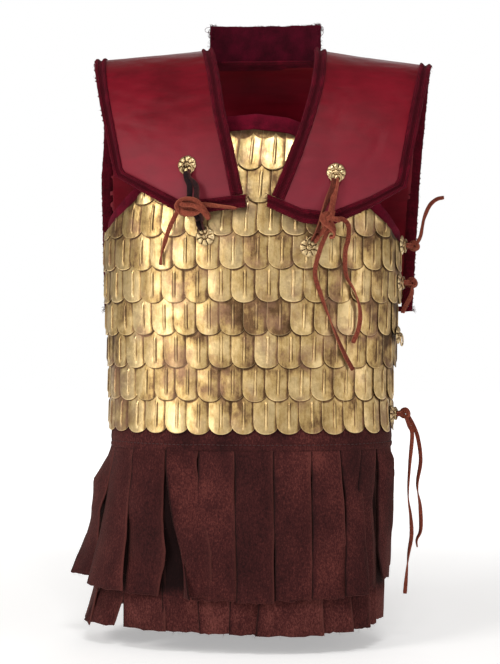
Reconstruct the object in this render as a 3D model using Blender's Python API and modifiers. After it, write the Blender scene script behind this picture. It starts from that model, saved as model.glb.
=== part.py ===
"""Scale armour of felt, brass, leather and suede, worn shape, real size.

Metres, +Z up. The wearer faces -Y and the wearer's left is +X. The origin is the middle
of the shoulder line, where the wearer's shoulders carry the yoke.
"""

import math
from bisect import bisect_right
from collections import namedtuple
from functools import lru_cache

import bmesh
import bpy
from mathutils import Matrix, Vector

# Thickness of each stuff
FELT = 0.003
LEATHER = 0.003
BAND = 0.0045
BINDING = 0.0055
BRASS = 0.0015
SUEDE = 0.002

# How far each piece stays inside its own outline, so that neighbours keep apart at a seam
INSET = 0.00025

# Body of felt
BODY_BOTTOM = -0.520
BAND_WIDTH = 0.020
BAND_RIDGE = 0.0008
OPENING_EDGE = 0.006
SIDE_SEAM = 1.0
SQUARENESS = 2.35
TILT = 0.006

# Scales
SCALES_PER_HALF = 17
ROW_PITCH = 0.0431
LOWEST_ROW = -0.5114
SCALE_LENGTH = 0.062
FRONT_ROWS = 9
WRAPPED_ROWS = 6
TUCK = 0.0034
FLARE = 0.0070
RIB = 0.0015
NOTCH = 0.017
BARE_EDGE = 0.030

# Yoke
BACK_CURVE = 0.150
YOKE_HEM = -0.348
BINDING_WIDTH = 0.016
BINDING_RIDGE = 0.0007
FLAP_REACH = 0.147
BACK_REACH = 0.131
GUARD_TOP = 0.054

# Waist and pteruges
WAIST_TOP = -0.498
WAIST_BOTTOM = -0.5335
OUTER_HEM = -0.726
INNER_HEM = -0.770
SLIT = 0.0016
COMB_HEAD = 0.007
INNER_DROP = 0.0004

# Brass fittings
ROSETTE_RADIUS = 0.0125
ROSETTE_HEIGHT = 0.003
RING_RADIUS = 0.0072
RING_WIRE = 0.0011
SEAT_GAP = 0.0004

# Thongs
THONG = 0.0055

# Outer form of the torso: a row for each height
Section = namedtuple("Section", "height middle half_width front back")
SECTIONS = [
    Section(-0.060, 0.000, 0.188, 0.086, 0.090),
    Section(-0.090, -0.003, 0.192, 0.099, 0.100),
    Section(-0.130, -0.006, 0.196, 0.113, 0.109),
    Section(-0.170, -0.009, 0.198, 0.122, 0.114),
    Section(-0.240, -0.013, 0.199, 0.128, 0.116),
    Section(-0.330, -0.015, 0.196, 0.124, 0.112),
    Section(-0.400, -0.016, 0.192, 0.118, 0.107),
    Section(-0.470, -0.017, 0.189, 0.115, 0.106),
    Section(-0.535, -0.017, 0.188, 0.118, 0.111),
    Section(-0.620, -0.018, 0.193, 0.127, 0.120),
    Section(-0.700, -0.018, 0.198, 0.132, 0.126),
    Section(-0.790, -0.018, 0.203, 0.136, 0.131),
]

# Upper edge of each panel: aside is the distance from the middle, as a part of the half turn
Edge = namedtuple("Edge", "aside height")
FRONT_EDGE = [
    Edge(0.00, -0.090),
    Edge(0.09, -0.095),
    Edge(0.15, -0.106),
    Edge(0.20, -0.130),
    Edge(0.25, -0.162),
    Edge(0.30, -0.188),
    Edge(0.36, -0.210),
    Edge(0.42, -0.228),
    Edge(0.50, -0.241),
]
BACK_EDGE = [
    Edge(0.00, -0.075),
    Edge(0.16, -0.082),
    Edge(0.22, -0.115),
    Edge(0.28, -0.165),
    Edge(0.36, -0.205),
    Edge(0.42, -0.226),
    Edge(0.50, -0.241),
]

# Flap outline: inner edge down the flap, and the height of its lower edge
InnerEdge = namedtuple("InnerEdge", "down right left")
INNER_EDGE = [
    InnerEdge(0.000, 0.0700, 0.0700),
    InnerEdge(0.150, 0.0655, 0.0722),
    InnerEdge(0.430, 0.0520, 0.0705),
    InnerEdge(0.625, 0.0413, 0.0587),
    InnerEdge(0.800, 0.0276, 0.0400),
    InnerEdge(1.000, 0.0127, 0.0150),
]
LowerEdge = namedtuple("LowerEdge", "x right left")
LOWER_EDGE = [
    LowerEdge(0.000, -0.216, -0.213),
    LowerEdge(0.014, -0.217, -0.216),
    LowerEdge(0.060, -0.222, -0.237),
    LowerEdge(0.096, -0.225, -0.241),
    LowerEdge(0.146, -0.197, -0.218),
    LowerEdge(0.191, -0.171, -0.191),
    LowerEdge(0.240, -0.160, -0.172),
]

# Where the strips part, around the body from the wearer's left
FRONT_CUTS = (
    0.006, 0.066, 0.1322, 0.1861, 0.2497, 0.3264, 0.426,
    0.5258, 0.6189, 0.7124, 0.8126, 0.905, 1.0,
)
BACK_CUTS = (1.0, 1.085, 1.17, 1.262, 1.354, 1.446, 1.538, 1.63, 1.722, 1.814, 1.904, 1.994)

# How soon a strip lifts on its way down, away from the other layer and towards it
LIFT_AWAY = 1.3
LIFT_TOWARDS = 2.6

# How each strip falls: shift along the body, lift away from the other layer, twist, and hem
Strip = namedtuple("Strip", "shift lift twist hem")
FRONT_OUTER = [
    Strip(0.002, -0.012, 0.0, 0.030),
    Strip(0.001, -0.007, 0.0, 0.020),
    Strip(0.001, -0.001, 0.0, 0.010),
    Strip(-0.005, 0.009, 0.0, 0.005),
    Strip(0.001, 0.005, 0.0, 0.002),
    Strip(0.000, 0.004, 0.0, 0.001),
    Strip(0.000, 0.005, 0.0, -0.002),
    Strip(0.000, 0.003, 0.0, 0.000),
    Strip(-0.018, 0.008, 0.45, 0.005),
    Strip(0.003, 0.005, 0.1, 0.004),
    Strip(0.001, 0.022, 0.0, 0.008),
    Strip(0.000, 0.042, 0.0, 0.016),
]
BACK_OUTER = [
    Strip(0.002, 0.036, 0.0, 0.012),
    Strip(0.004, 0.012, 0.0, 0.006),
    Strip(0.002, 0.005, 0.2, 0.002),
    Strip(0.000, 0.006, 0.0, 0.000),
    Strip(-0.002, 0.004, -0.2, -0.003),
    Strip(0.001, 0.005, 0.0, 0.001),
    Strip(0.003, 0.006, 0.2, -0.002),
    Strip(0.000, 0.004, 0.0, 0.000),
    Strip(-0.003, 0.006, -0.2, 0.003),
    Strip(-0.002, -0.002, 0.0, 0.006),
    Strip(0.000, -0.012, 0.0, 0.022),
]
FRONT_INNER = [
    Strip(0.004, 0.022, 0.0, 0.016),
    Strip(0.004, 0.016, 0.0, 0.008),
    Strip(0.003, 0.009, 0.0, 0.004),
    Strip(-0.006, 0.006, 0.0, 0.002),
    Strip(-0.008, 0.002, 0.0, 0.000),
    Strip(-0.006, -0.001, 0.0, -0.003),
    Strip(0.002, 0.000, 0.0, -0.001),
    Strip(-0.004, -0.001, 0.0, 0.000),
    Strip(-0.010, 0.000, 0.0, 0.000),
    Strip(-0.008, -0.001, 0.0, 0.000),
    Strip(0.000, -0.006, 0.0, 0.000),
    Strip(0.000, -0.026, 0.0, -0.004),
]
BACK_INNER = [
    Strip(0.000, -0.026, 0.0, 0.000),
    Strip(0.000, -0.004, 0.0, 0.003),
    Strip(0.000, 0.001, 0.0, 0.000),
    Strip(-0.001, 0.000, 0.1, -0.002),
    Strip(0.000, -0.001, 0.0, 0.001),
    Strip(0.001, 0.000, 0.0, -0.003),
    Strip(0.000, -0.001, -0.1, 0.000),
    Strip(0.000, 0.000, 0.0, 0.002),
    Strip(0.000, 0.006, 0.0, 0.000),
    Strip(-0.004, 0.014, 0.0, 0.008),
    Strip(-0.004, 0.022, 0.0, 0.016),
]

# Rosettes of the chest
Chest = namedtuple("Chest", "name x height")
CHEST_ROSETTES = [
    Chest("upper_right", -0.0898, -0.1610),
    Chest("upper_left", 0.1032, -0.1720),
    Chest("lower_right", -0.0655, -0.2537),
    Chest("lower_left", 0.0669, -0.2684),
]
# Heights of the rosettes down the left opening; one front ring is empty and swings
SIDE_HEIGHTS = [-0.260, -0.3106, -0.382, -0.4894]
EMPTY = 2
SIDE_FRONT = 0.055
SIDE_BACK = 1.945
RING_AXIS = 0.0060
STAPLE_HOLE = 0.0019
STAPLE_WIRE = 0.0011
RING_LIFT = 0.0046
BOSS_RADIUS = 0.0026
BOSS_RISE = 0.0006
PETAL_NOTCH = 0.84
THONG_GAP = 0.0005

# A place in front of the torso, with how far it stands off it
OnBody = namedtuple("OnBody", "x height clear")

# Ties
TIE_WIDTH = 0.0060
TIE_STEPS = 8
CHEST_KNOT = 1.9
CHEST_RISE = 0.0035
CHEST_KNOTS = {
    "right": OnBody(-0.0812, -0.2127, 0.0340),
    "left": OnBody(0.0947, -0.2331, 0.0340),
}
SIDE_BULGE = 0.010
SIDE_RISE = 0.002
SIDE_KNOT = 1.7
THONG_STEP = 0.015

# Form of the yoke
RIDGE_TOP = 0.010
RIDGE_DROP_RIGHT = 0.013
RIDGE_DROP_LEFT = 0.026
NECK_HALF = 0.070
SHOULDER_HALF = 0.230
FLAP_HALF = 0.191
FLAP_ROUND = 0.040
BACK_ROUND = 0.016
YOKE_LEAN = 0.010
# Half width of the yoke on each side: on the shoulder, at the flap's and the back's fall, at the hem
YokeSide = namedtuple("YokeSide", "shoulder flap back hem")
YOKE_SIDES = {
    -1: YokeSide(0.2325, 0.1893, 0.2410, 0.2310),
    1: YokeSide(0.2300, 0.1943, 0.2220, 0.2170),
}
NECK_RUN = 0.223
# Places along the yoke where its mesh has a row
YOKE_RUNS = [
    -1, -0.977, -0.954, -0.80, -0.65, -0.50, -0.35, -0.18, 0, 0.11,
    NECK_RUN, 0.261, 0.300, 0.5, 0.75, 1, 1.3, 1.6, 1.923, 1.9615, 2,
]
NECK_ROW = YOKE_RUNS.index(NECK_RUN)
GUARD_HALF = 0.077
GUARD_BACK = 0.055
GUARD_BEND = 0.020
GUARD_SEAT = 0.0050
GUARD_LEAN = 0.003
GUARD_CORNER = 0.003

# Bands along the panels' upper edges, from and to a place around the body
FRONT_BANDS = [
    ("armhole_band_front_left", 0.0, 0.30),
    ("neckline_band", 0.30, 0.70),
    ("armhole_band_front_right", 0.70, 1.01),
]
BACK_BANDS = [
    ("armhole_band_back_right", 0.99, 1.30),
    ("back_neck_band", 1.30, 1.70),
    ("armhole_band_back_left", 1.70, 2.01),
]
PANEL_COLUMNS = 24
# Rows of a panel as parts of its height, closer where the waist draws in
PANEL_ROWS = (0, 0.055, 0.15, 0.26, 0.48, 0.74, 1)
WAIST_OUT = 0.003
OUTLINE_STEPS = 96
# Lower edge of a scale: where its straight middle ends, as a part of the half width, and the rise there
SCALE_SHOULDER = 0.8
SHOULDER_RISE = 0.0058
SCALE_PHASES = (0, 0.1, 0.5, 0.9)
LEAST_SCALE = 0.006
BAND_GAP = 0.0015

BRASS_LOOK = ((0.62, 0.47, 0.22, 1), 0.35, 1.0)
FELT_LOOK = ((0.06, 0.004, 0.016, 1), 0.95, 0.0)
LEATHER_LOOK = ((0.22, 0.006, 0.018, 1), 0.42, 0.0)
SUEDE_LOOK = ((0.075, 0.016, 0.014, 1), 0.9, 0.0)
THONG_LOOK = ((0.20, 0.045, 0.028, 1), 0.8, 0.0)

# Free thong ends on the chest, point by point
CHEST_ENDS = {
    "thong_end_a": [
        OnBody(0.1006, -0.2332, 0.0337),
        OnBody(0.1125, -0.2334, 0.0335),
        OnBody(0.1195, -0.2414, 0.0300),
        OnBody(0.1187, -0.2589, 0.0215),
        OnBody(0.1153, -0.2729, 0.0160),
        OnBody(0.1159, -0.3032, 0.0128),
        OnBody(0.1275, -0.3258, 0.0125),
        OnBody(0.1339, -0.3492, 0.0125),
        OnBody(0.1326, -0.3714, 0.0125),
        OnBody(0.1248, -0.3924, 0.0125),
    ],
    "thong_end_b": [
        OnBody(0.0964, -0.2426, 0.0330),
        OnBody(0.0895, -0.2559, 0.0285),
        OnBody(0.0824, -0.2735, 0.0210),
        OnBody(0.0761, -0.3016, 0.0140),
        OnBody(0.0837, -0.3300, 0.0125),
        OnBody(0.0984, -0.3702, 0.0125),
        OnBody(0.1131, -0.4054, 0.0125),
        OnBody(0.1248, -0.4278, 0.0125),
    ],
    "thong_end_c": [
        OnBody(-0.0866, -0.2151, 0.0327),
        OnBody(-0.0988, -0.2204, 0.0300),
        OnBody(-0.1074, -0.2329, 0.0250),
        OnBody(-0.1151, -0.2478, 0.0185),
        OnBody(-0.1219, -0.2670, 0.0140),
        OnBody(-0.1256, -0.2799, 0.0128),
        OnBody(-0.1264, -0.2903, 0.0125),
    ],
    "thong_end_d": [
        OnBody(-0.0750, -0.2132, 0.0326),
        OnBody(-0.0620, -0.2143, 0.0300),
        OnBody(-0.0440, -0.2163, 0.0275),
        OnBody(-0.0232, -0.2191, 0.0275),
    ],
}

# Free thong ends at the side opening, as points in space
Place = namedtuple("Place", "x y z")
SIDE_ENDS = {
    "thong_end_e": [
        Place(0.2112, -0.002, -0.2560),
        Place(0.2155, -0.004, -0.2470),
        Place(0.2180, -0.006, -0.2340),
        Place(0.2205, -0.008, -0.2221),
        Place(0.2275, -0.011, -0.2060),
        Place(0.2370, -0.013, -0.1975),
        Place(0.2470, -0.015, -0.1952),
    ],
    "thong_end_f": [
        Place(0.2045, -0.0040, -0.3166),
        Place(0.2035, -0.0120, -0.3255),
        Place(0.1985, -0.0230, -0.3360),
        Place(0.1935, -0.0330, -0.3450),
        Place(0.1905, -0.0400, -0.3520),
    ],
    "thong_end_g": [
        Place(0.1955, -0.0040, -0.4935),
        Place(0.2000, -0.0080, -0.5060),
        Place(0.2040, -0.0130, -0.5180),
        Place(0.2005, -0.0130, -0.5602),
        Place(0.1985, -0.0120, -0.6002),
        Place(0.2020, -0.0120, -0.6292),
        Place(0.2030, -0.0130, -0.6554),
        Place(0.1985, -0.0140, -0.6844),
        Place(0.1940, -0.0160, -0.7340),
    ],
    "thong_end_h": [
        Place(0.1985, 0.0036, -0.4925),
        Place(0.2060, 0.0048, -0.5060),
        Place(0.2124, 0.0050, -0.5243),
        Place(0.2160, 0.0050, -0.5546),
        Place(0.2113, 0.0050, -0.5878),
        Place(0.2153, 0.0040, -0.6174),
        Place(0.2160, 0.0030, -0.6485),
        Place(0.2105, 0.0030, -0.6630),
        Place(0.2113, 0.0020, -0.6733),
    ],
}


def clear_scene():
    for obj in list(bpy.data.objects):
        bpy.data.objects.remove(obj)


def collection(name):
    made = bpy.data.collections.new(name)
    bpy.context.scene.collection.children.link(made)
    return made


def material(name, look):
    colour, roughness, metallic = look
    made = bpy.data.materials.new(name)
    made.use_nodes = True
    shader = made.node_tree.nodes["Principled BSDF"]
    shader.inputs["Base Color"].default_value = colour
    shader.inputs["Roughness"].default_value = roughness
    shader.inputs["Metallic"].default_value = metallic
    return made


def between(table, key, column, value):
    """A column of a table at a value of its key column, on a smooth curve through its rows."""
    rows = sorted(table, key=lambda row: getattr(row, key))
    keys = [getattr(row, key) for row in rows]
    values = [getattr(row, column) for row in rows]
    if value <= keys[0]:
        return values[0]
    if value >= keys[-1]:
        return values[-1]
    index = bisect_right(keys, value)
    low, high = index - 1, index
    span = keys[high] - keys[low]
    part = (value - keys[low]) / span

    def slope(here):
        before, after = max(here - 1, 0), min(here + 1, len(keys) - 1)
        return (values[after] - values[before]) / (keys[after] - keys[before])

    return (
        values[low] * (1 + 2 * part) * (1 - part) ** 2
        + values[high] * part**2 * (3 - 2 * part)
        + slope(low) * span * part * (1 - part) ** 2
        - slope(high) * span * part**2 * (1 - part)
    )


def straight(table, key, column, value):
    """A column of a table at a value of its key column, straight between rows."""
    low = table[0]
    for row in table:
        if getattr(row, key) >= value:
            span = getattr(row, key) - getattr(low, key)
            part = (value - getattr(low, key)) / span if span else 0
            return getattr(low, column) * (1 - part) + getattr(row, column) * part
        low = row
    return getattr(low, column)


@lru_cache(maxsize=None)
def section(height):
    return Section(
        height,
        between(SECTIONS, "height", "middle", height),
        between(SECTIONS, "height", "half_width", height),
        between(SECTIONS, "height", "front", height),
        between(SECTIONS, "height", "back", height),
    )


@lru_cache(maxsize=None)
def outline(height):
    """Front and back half of the torso at a height, each as its points and running lengths.

    The front runs from the wearer's left to the right, and the back from there to the left.
    """
    here = section(height)
    power = 2 / SQUARENESS
    halves = []
    for depth, side in ((-here.front, 1), (here.back, -1)):
        points, lengths = [], [0.0]
        for step in range(OUTLINE_STEPS + 1):
            turn = math.pi * (0.5 - step / OUTLINE_STEPS)
            across = math.copysign(abs(math.sin(turn)) ** power, turn)
            ahead = max(math.cos(turn), 0) ** power
            points.append(
                Vector((here.middle + side * here.half_width * across, depth * ahead))
            )
        for start, end in zip(points, points[1:]):
            lengths.append(lengths[-1] + (end - start).length)
        halves.append((points, lengths))
    return halves


def skin(around, height, out=0.0):
    """A point of the torso: around is 0 at the wearer's left, 1 at the right, 2 at the left again."""
    half = 0 if around <= 1 else 1
    points, lengths = outline(round(height, 6))[half]
    target = min(max(around - half, 0), 1) * lengths[-1]
    index = min(max(bisect_right(lengths, target), 1), len(points) - 1)
    start, end = points[index - 1], points[index]
    part = (target - lengths[index - 1]) / (lengths[index] - lengths[index - 1])
    spot = start.lerp(end, part)
    along = (end - start).normalized()
    return Vector((spot.x - along.y * out, spot.y + along.x * out, height))


def chest_point(row):
    """A point in front of the torso at a given x, standing off it along its slope."""

    def depth(x):
        here = section(round(row.height, 6))
        aside = min(abs(x - here.middle) / here.half_width, 0.999)
        return -here.front * (1 - aside**SQUARENESS) ** (1 / SQUARENESS)

    step = 0.002
    slope = (depth(row.x + step) - depth(row.x - step)) / (2 * step)
    return Vector((row.x, depth(row.x) - row.clear * math.hypot(1, slope), row.height))


def upper_edge(around):
    """Height of the panel's upper edge, a little lower on the wearer's left."""
    if around <= 1:
        lean = 1 - 2 * around
        return straight(FRONT_EDGE, "aside", "height", abs(around - 0.5)) - TILT * lean
    lean = 2 * around - 3
    return straight(BACK_EDGE, "aside", "height", abs(around - 1.5)) - TILT * lean


def sheet(grid, wanted=None):
    """An open mesh from a grid of points, of the cells that are wanted and have four points."""
    mesh = bmesh.new()
    made = {}

    def vertex(row, column):
        if (row, column) not in made:
            made[row, column] = mesh.verts.new(grid[row][column])
        return made[row, column]

    for row in range(len(grid) - 1):
        for column in range(len(grid[row]) - 1):
            corners = [
                (row, column),
                (row, column + 1),
                (row + 1, column + 1),
                (row + 1, column),
            ]
            if any(grid[r][c] is None for r, c in corners):
                continue
            if wanted is None or wanted(row, column):
                mesh.faces.new([vertex(r, c) for r, c in corners])
    mesh.normal_update()
    return mesh


def draw_in(mesh, distance):
    """Moves the open edge inward, so that neighbours along a seam stay apart."""
    moves = {}
    for edge in mesh.edges:
        if not edge.is_boundary:
            continue
        start, end = edge.verts
        along = (end.co - start.co).normalized()
        inward = edge.link_faces[0].calc_center_median() - start.co
        inward = (inward - along * inward.dot(along)).normalized()
        for vertex in edge.verts:
            moves.setdefault(vertex, []).append(inward)
    for vertex, inward in moves.items():
        if len(inward) > 1:
            step = (inward[0] + inward[1]) / max(1 + inward[0].dot(inward[1]), 0.3)
        else:
            step = inward[0]
        vertex.co += step * distance


def wall(name, mesh, thickness, look, ridge=0.0):
    """A wall of one thickness round an open mesh. A ridge raises the line inside a band."""
    if ridge:
        for vertex in mesh.verts:
            if not vertex.is_boundary:
                vertex.co += vertex.normal * ridge
    draw_in(mesh, INSET)
    data = bpy.data.meshes.new(name)
    mesh.to_mesh(data)
    mesh.free()
    obj = place(name, data, look)
    solid = obj.modifiers.new("thickness", "SOLIDIFY")
    solid.thickness = thickness
    solid.offset = 0
    solid.use_even_offset = True
    return obj


def place(name, data, look):
    obj = bpy.data.objects.new(name, data)
    data.materials.append(LOOKS[look])
    PARTS.objects.link(obj)
    return obj


def columns_of(start, end, count):
    """Places around the body from the wearer's right towards the left, as seen from outside."""
    return [end + (start - end) * step / count for step in range(count + 1)]


def panel(side, start, end, band_names):
    """A felt panel from the waist to its upper edge, with its bands along that edge."""
    places = columns_of(start, end, PANEL_COLUMNS)
    grid = []
    for part in PANEL_ROWS:
        grid.append([])
        for around in places:
            rise = (upper_edge(around) - BAND_WIDTH - BODY_BOTTOM) * part
            grid[-1].append(skin(around, BODY_BOTTOM + rise))
    wall(side + "_panel", sheet(grid), FELT, "felt")
    bands = []
    for step in (2, 1, 0):
        bands.append(
            [skin(a, upper_edge(a) - BAND_WIDTH * step / 2) for a in places]
        )
    for name, low, high in band_names:
        wanted = [
            low <= abs(around) < high for around in places[:-1]
        ]
        mesh = sheet(bands, lambda row, column: wanted[column])
        wall(name, mesh, BAND, "felt", ridge=BAND_RIDGE)


def scale_form(phase):
    """The lower edge of one scale over its width: how far it rises, and its middle rib."""
    aside = abs(phase - 0.5) * 2
    if aside > SCALE_SHOULDER:
        rise = NOTCH - (NOTCH - SHOULDER_RISE) * (1 - aside) / (1 - SCALE_SHOULDER)
    else:
        rise = SHOULDER_RISE * aside / SCALE_SHOULDER
    return rise, RIB * max(0, 1 - aside / SCALE_SHOULDER)


def stand_off(rise):
    """How far a scale stands off the felt, at a height above its tip."""
    return TUCK + (FLARE - TUCK) * (1 - rise / SCALE_LENGTH)


def scale_row(number):
    """One row of scales as a wall that flares out over the row below it."""
    hem = LOWEST_ROW + number * ROW_PITCH
    stagger = 0.5 * (number % 2)
    last = 2 - BARE_EDGE if number < WRAPPED_ROWS else 1
    places = [BARE_EDGE, last]
    for scale in range(-1, 2 * SCALES_PER_HALF + 1):
        places += [(scale + stagger + phase) / SCALES_PER_HALF for phase in SCALE_PHASES]
    low_row, high_row = [], []
    for around in sorted(places, reverse=True):
        if not BARE_EDGE - 1e-6 <= around <= last + 1e-6:
            continue
        rise, rib = scale_form((around * SCALES_PER_HALF - stagger) % 1)
        top = min(hem + SCALE_LENGTH, upper_edge(around) - BAND_WIDTH - BAND_GAP)
        if top < hem + rise + LEAST_SCALE:
            continue
        low_row.append(skin(around, hem + rise, stand_off(rise) + rib))
        high_row.append(skin(around, top, stand_off(top - hem)))
    mesh = sheet([low_row, high_row])
    bmesh.ops.remove_doubles(mesh, verts=mesh.verts, dist=1e-5)
    wall("scale_row_%d" % (FRONT_ROWS - number), mesh, BRASS, "brass")


def ridge_height(x):
    drop = RIDGE_DROP_LEFT if x > 0 else RIDGE_DROP_RIGHT
    aside = max(abs(x) - NECK_HALF, 0) / (SHOULDER_HALF - NECK_HALF)
    return RIDGE_TOP - drop * aside**0.8


def yoke_spot(x, run):
    """A point of the yoke: run is -1 at a flap's lower edge, 0 on the shoulder, 2 at the back hem."""
    ridge = ridge_height(x)
    if run < 0:
        turn = -run * math.pi / 2
        lower = straight(LOWER_EDGE, "x", "left" if x > 0 else "right", abs(x))
        reach = FLAP_REACH - FLAP_ROUND * (x / FLAP_HALF) ** 2
        height = ridge - (ridge - lower) * (1 - math.cos(turn))
        return Vector((x, -reach * math.sin(turn), height))
    reach = BACK_REACH - BACK_ROUND * (x / SHOULDER_HALF) ** 2
    turn = min(run, 1) * math.pi / 2
    height = ridge - BACK_CURVE * (1 - math.cos(turn))
    if run > 1:
        height += (YOKE_HEM - height) * (run - 1)
    lean = YOKE_LEAN * min(height, 0) / YOKE_HEM
    return Vector((x - lean, reach * math.sin(turn), height))


def yoke_edges(run, side):
    """Half widths of the yoke's inner and outer edge at a place along it; side is 1 or -1."""
    form = YOKE_SIDES[side]
    down = 1 - math.cos(min(abs(run), 1) * math.pi / 2)
    if run < 0:
        inner = between(INNER_EDGE, "down", "left" if side > 0 else "right", -run)
        return inner, form.shoulder + (form.flap - form.shoulder) * down
    outer = form.shoulder + (form.back - form.shoulder) * down
    if run > 1:
        outer += (form.hem - form.back) * (run - 1)
    return NECK_HALF, outer


def yoke_row(run):
    """Points across the yoke, from the wearer's right to the left, with none in the neck."""
    halves = []
    for side in (-1, 1):
        inner, outer = yoke_edges(run, side)
        strip = BINDING_WIDTH
        asides = [inner, inner + strip / 2, inner + strip]
        room = outer - inner - 2 * strip
        asides += [inner + strip + room * step / 4 for step in (1, 2, 3)]
        asides += [outer - strip, outer - strip / 2, outer]
        halves.append([yoke_spot(side * x, run) for x in asides])
    gap = [yoke_spot(x, run) for x in (-NECK_HALF / 3, NECK_HALF / 3)]
    if run < NECK_RUN:
        gap = [None, None]
    return halves[0][::-1] + gap + halves[1]


def yoke_piece(row, column):
    """Which piece of the yoke a cell of its grid belongs to."""
    flap_hem = row < 2
    back_hem = row >= len(YOKE_RUNS) - 3
    neck_back = row in (NECK_ROW, NECK_ROW + 1)
    inner = column in (6, 7, 11, 12)
    if back_hem:
        return "binding_hem"
    if column < 2 or (flap_hem and column < 8):
        return "binding_right"
    if column > 16 or (flap_hem and column > 10):
        return "binding_left"
    if (inner and row < NECK_ROW + 2) or (neck_back and 5 < column < 13):
        return "binding_neck"
    return "yoke"


def yoke():
    grid = [yoke_row(run) for run in YOKE_RUNS]
    wall("yoke", sheet(grid, lambda r, c: yoke_piece(r, c) == "yoke"), LEATHER, "leather")
    for name in ("binding_neck", "binding_right", "binding_left", "binding_hem"):
        mesh = sheet(grid, lambda r, c, name=name: yoke_piece(r, c) == name)
        wall(name, mesh, BINDING, "felt", ridge=BINDING_RIDGE)


def neck_guard():
    """A stiff strip that stands on the yoke behind the neck and bends forward at its ends."""
    grid = []
    rows, columns = 3, 12
    for row in range(rows + 1):
        grid.append([])
        for column in range(columns + 1):
            aside = 2 * column / columns - 1
            x = GUARD_HALF * aside
            y = GUARD_BACK - GUARD_BEND * abs(aside) ** 5
            run = math.asin(y / BACK_REACH) * 2 / math.pi
            base = yoke_spot(x, run).z + GUARD_SEAT
            top = GUARD_TOP - GUARD_CORNER * abs(aside) ** 8
            part = row / rows
            grid[-1].append(Vector((x, y + GUARD_LEAN * part, base + (top - base) * part)))
    wall("neck_guard", sheet(grid), FELT, "felt")


def waistband(side, start, end):
    places = columns_of(start, end, PANEL_COLUMNS)
    grid = [[skin(a, z, WAIST_OUT) for a in places] for z in (WAIST_BOTTOM, WAIST_TOP)]
    wall("waistband_" + side, sheet(grid), SUEDE, "suede")


def pteruges(name, cuts, top, hem, base, side, strips):
    """A sheet of suede slit into strips that hang from its head; side is 1 outside, -1 inside."""
    length = outline(round(top, 6))[0][1][-1]
    grid = []
    for part in (None, 0, 0.3, 0.65, 1) if side == 1 else (None, 0, 0.5, 1):
        row = []
        for start, end, strip in zip(cuts, cuts[1:], strips):
            middle = (start + end) / 2
            half = (end - start) / 2 - SLIT / 2 / length
            for edge in (-1, 1):
                around = middle + edge * half
                if part is None:
                    row.append(skin(around, top, base))
                    continue
                head = top - COMB_HEAD
                turn = strip.twist * part
                lean = edge * half * length * math.sin(turn)
                stand = abs(half * length * math.sin(turn))
                lift = strip.lift * part ** (LIFT_AWAY if strip.lift > 0 else LIFT_TOWARDS)
                out = base + side * (lift + stand) + lean
                around = middle + edge * half * math.cos(turn)
                around += strip.shift / length * part**1.5
                height = head + (hem + strip.hem - head) * part
                row.append(skin(around, height, out))
        grid.append(list(reversed(row)))
    mesh = sheet(grid[::-1], lambda r, c: r == len(grid) - 2 or c % 2 == 0)
    wall(name, mesh, SUEDE, "suede")


def facing(spot, outward, up):
    """A matrix that stands +Z of a fitting along outward and its +Y along up."""
    outward = outward.normalized()
    across = up.cross(outward).normalized()
    upward = outward.cross(across)
    turn = Matrix((across, upward, outward)).transposed().to_4x4()
    return Matrix.Translation(spot) @ turn


def on_torso(around, height, out):
    spot = skin(around, height, out)
    return spot, skin(around, height, out + 0.01) - spot


def on_yoke(x, height, out):
    """The place on a flap at a height, and its outward direction."""
    low, high = -1.0, 0.0
    for _ in range(40):
        run = (low + high) / 2
        if yoke_spot(x, run).z < height:
            low = run
        else:
            high = run
    step = 0.002
    across = yoke_spot(x + step, run) - yoke_spot(x - step, run)
    upward = yoke_spot(x, run + step) - yoke_spot(x, run - step)
    outward = across.cross(upward).normalized()
    return yoke_spot(x, run) + outward * out, outward


def primitive_torus(name, major, minor):
    bpy.ops.mesh.primitive_torus_add(
        major_radius=major, minor_radius=minor, major_segments=10, minor_segments=5
    )
    obj = bpy.context.object
    obj.name = name
    for owner in list(obj.users_collection):
        owner.objects.unlink(obj)
    return obj


def rosette(name, matrix, pull):
    """A flower disc with eight petals and a ring on its boss, pulled along pull (x, y)."""
    mesh = bmesh.new()
    petals = 16
    bmesh.ops.create_cone(
        mesh,
        cap_ends=True,
        segments=petals,
        radius1=ROSETTE_RADIUS,
        radius2=ROSETTE_RADIUS * 0.55,
        depth=ROSETTE_HEIGHT,
        matrix=Matrix.Translation((0, 0, ROSETTE_HEIGHT / 2)),
    )
    for vertex in mesh.verts:
        turn = math.atan2(vertex.co.y, vertex.co.x) / (2 * math.pi) * petals
        if vertex.co.z < ROSETTE_HEIGHT / 2 and round(turn) % 2:
            vertex.co.xy *= PETAL_NOTCH
    data = bpy.data.meshes.new(name)
    mesh.to_mesh(data)
    mesh.free()
    obj = place(name, data, "brass")
    obj.matrix_world = matrix
    if pull:
        boss_height = RING_LIFT + RING_WIRE
        boss = bmesh.new()
        bmesh.ops.create_cone(
            boss,
            cap_ends=True,
            segments=8,
            radius1=BOSS_RADIUS,
            radius2=BOSS_RADIUS,
            depth=boss_height,
            matrix=Matrix.Translation((0, 0, boss_height / 2 + BOSS_RISE)),
        )
        boss_data = bpy.data.meshes.new(name + "_boss")
        boss.to_mesh(boss_data)
        boss.free()
        post = bpy.data.objects.new(name + "_boss", boss_data)
        loop = primitive_torus(name + "_ring", RING_RADIUS, RING_WIRE)
        shift = Vector((pull[0], pull[1], 0)) * RING_RADIUS
        loop.matrix_world = matrix @ Matrix.Translation(shift + Vector((0, 0, RING_LIFT)))
        post.matrix_world = matrix
        join(obj, [post, loop])
    else:
        staple = primitive_torus(name + "_staple", STAPLE_HOLE + STAPLE_WIRE, STAPLE_WIRE)
        turn = Matrix.Rotation(math.pi / 2, 4, "Y")
        staple.matrix_world = matrix @ Matrix.Translation((0, 0, RING_AXIS)) @ turn
        join(obj, [staple])
    return obj


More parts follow.
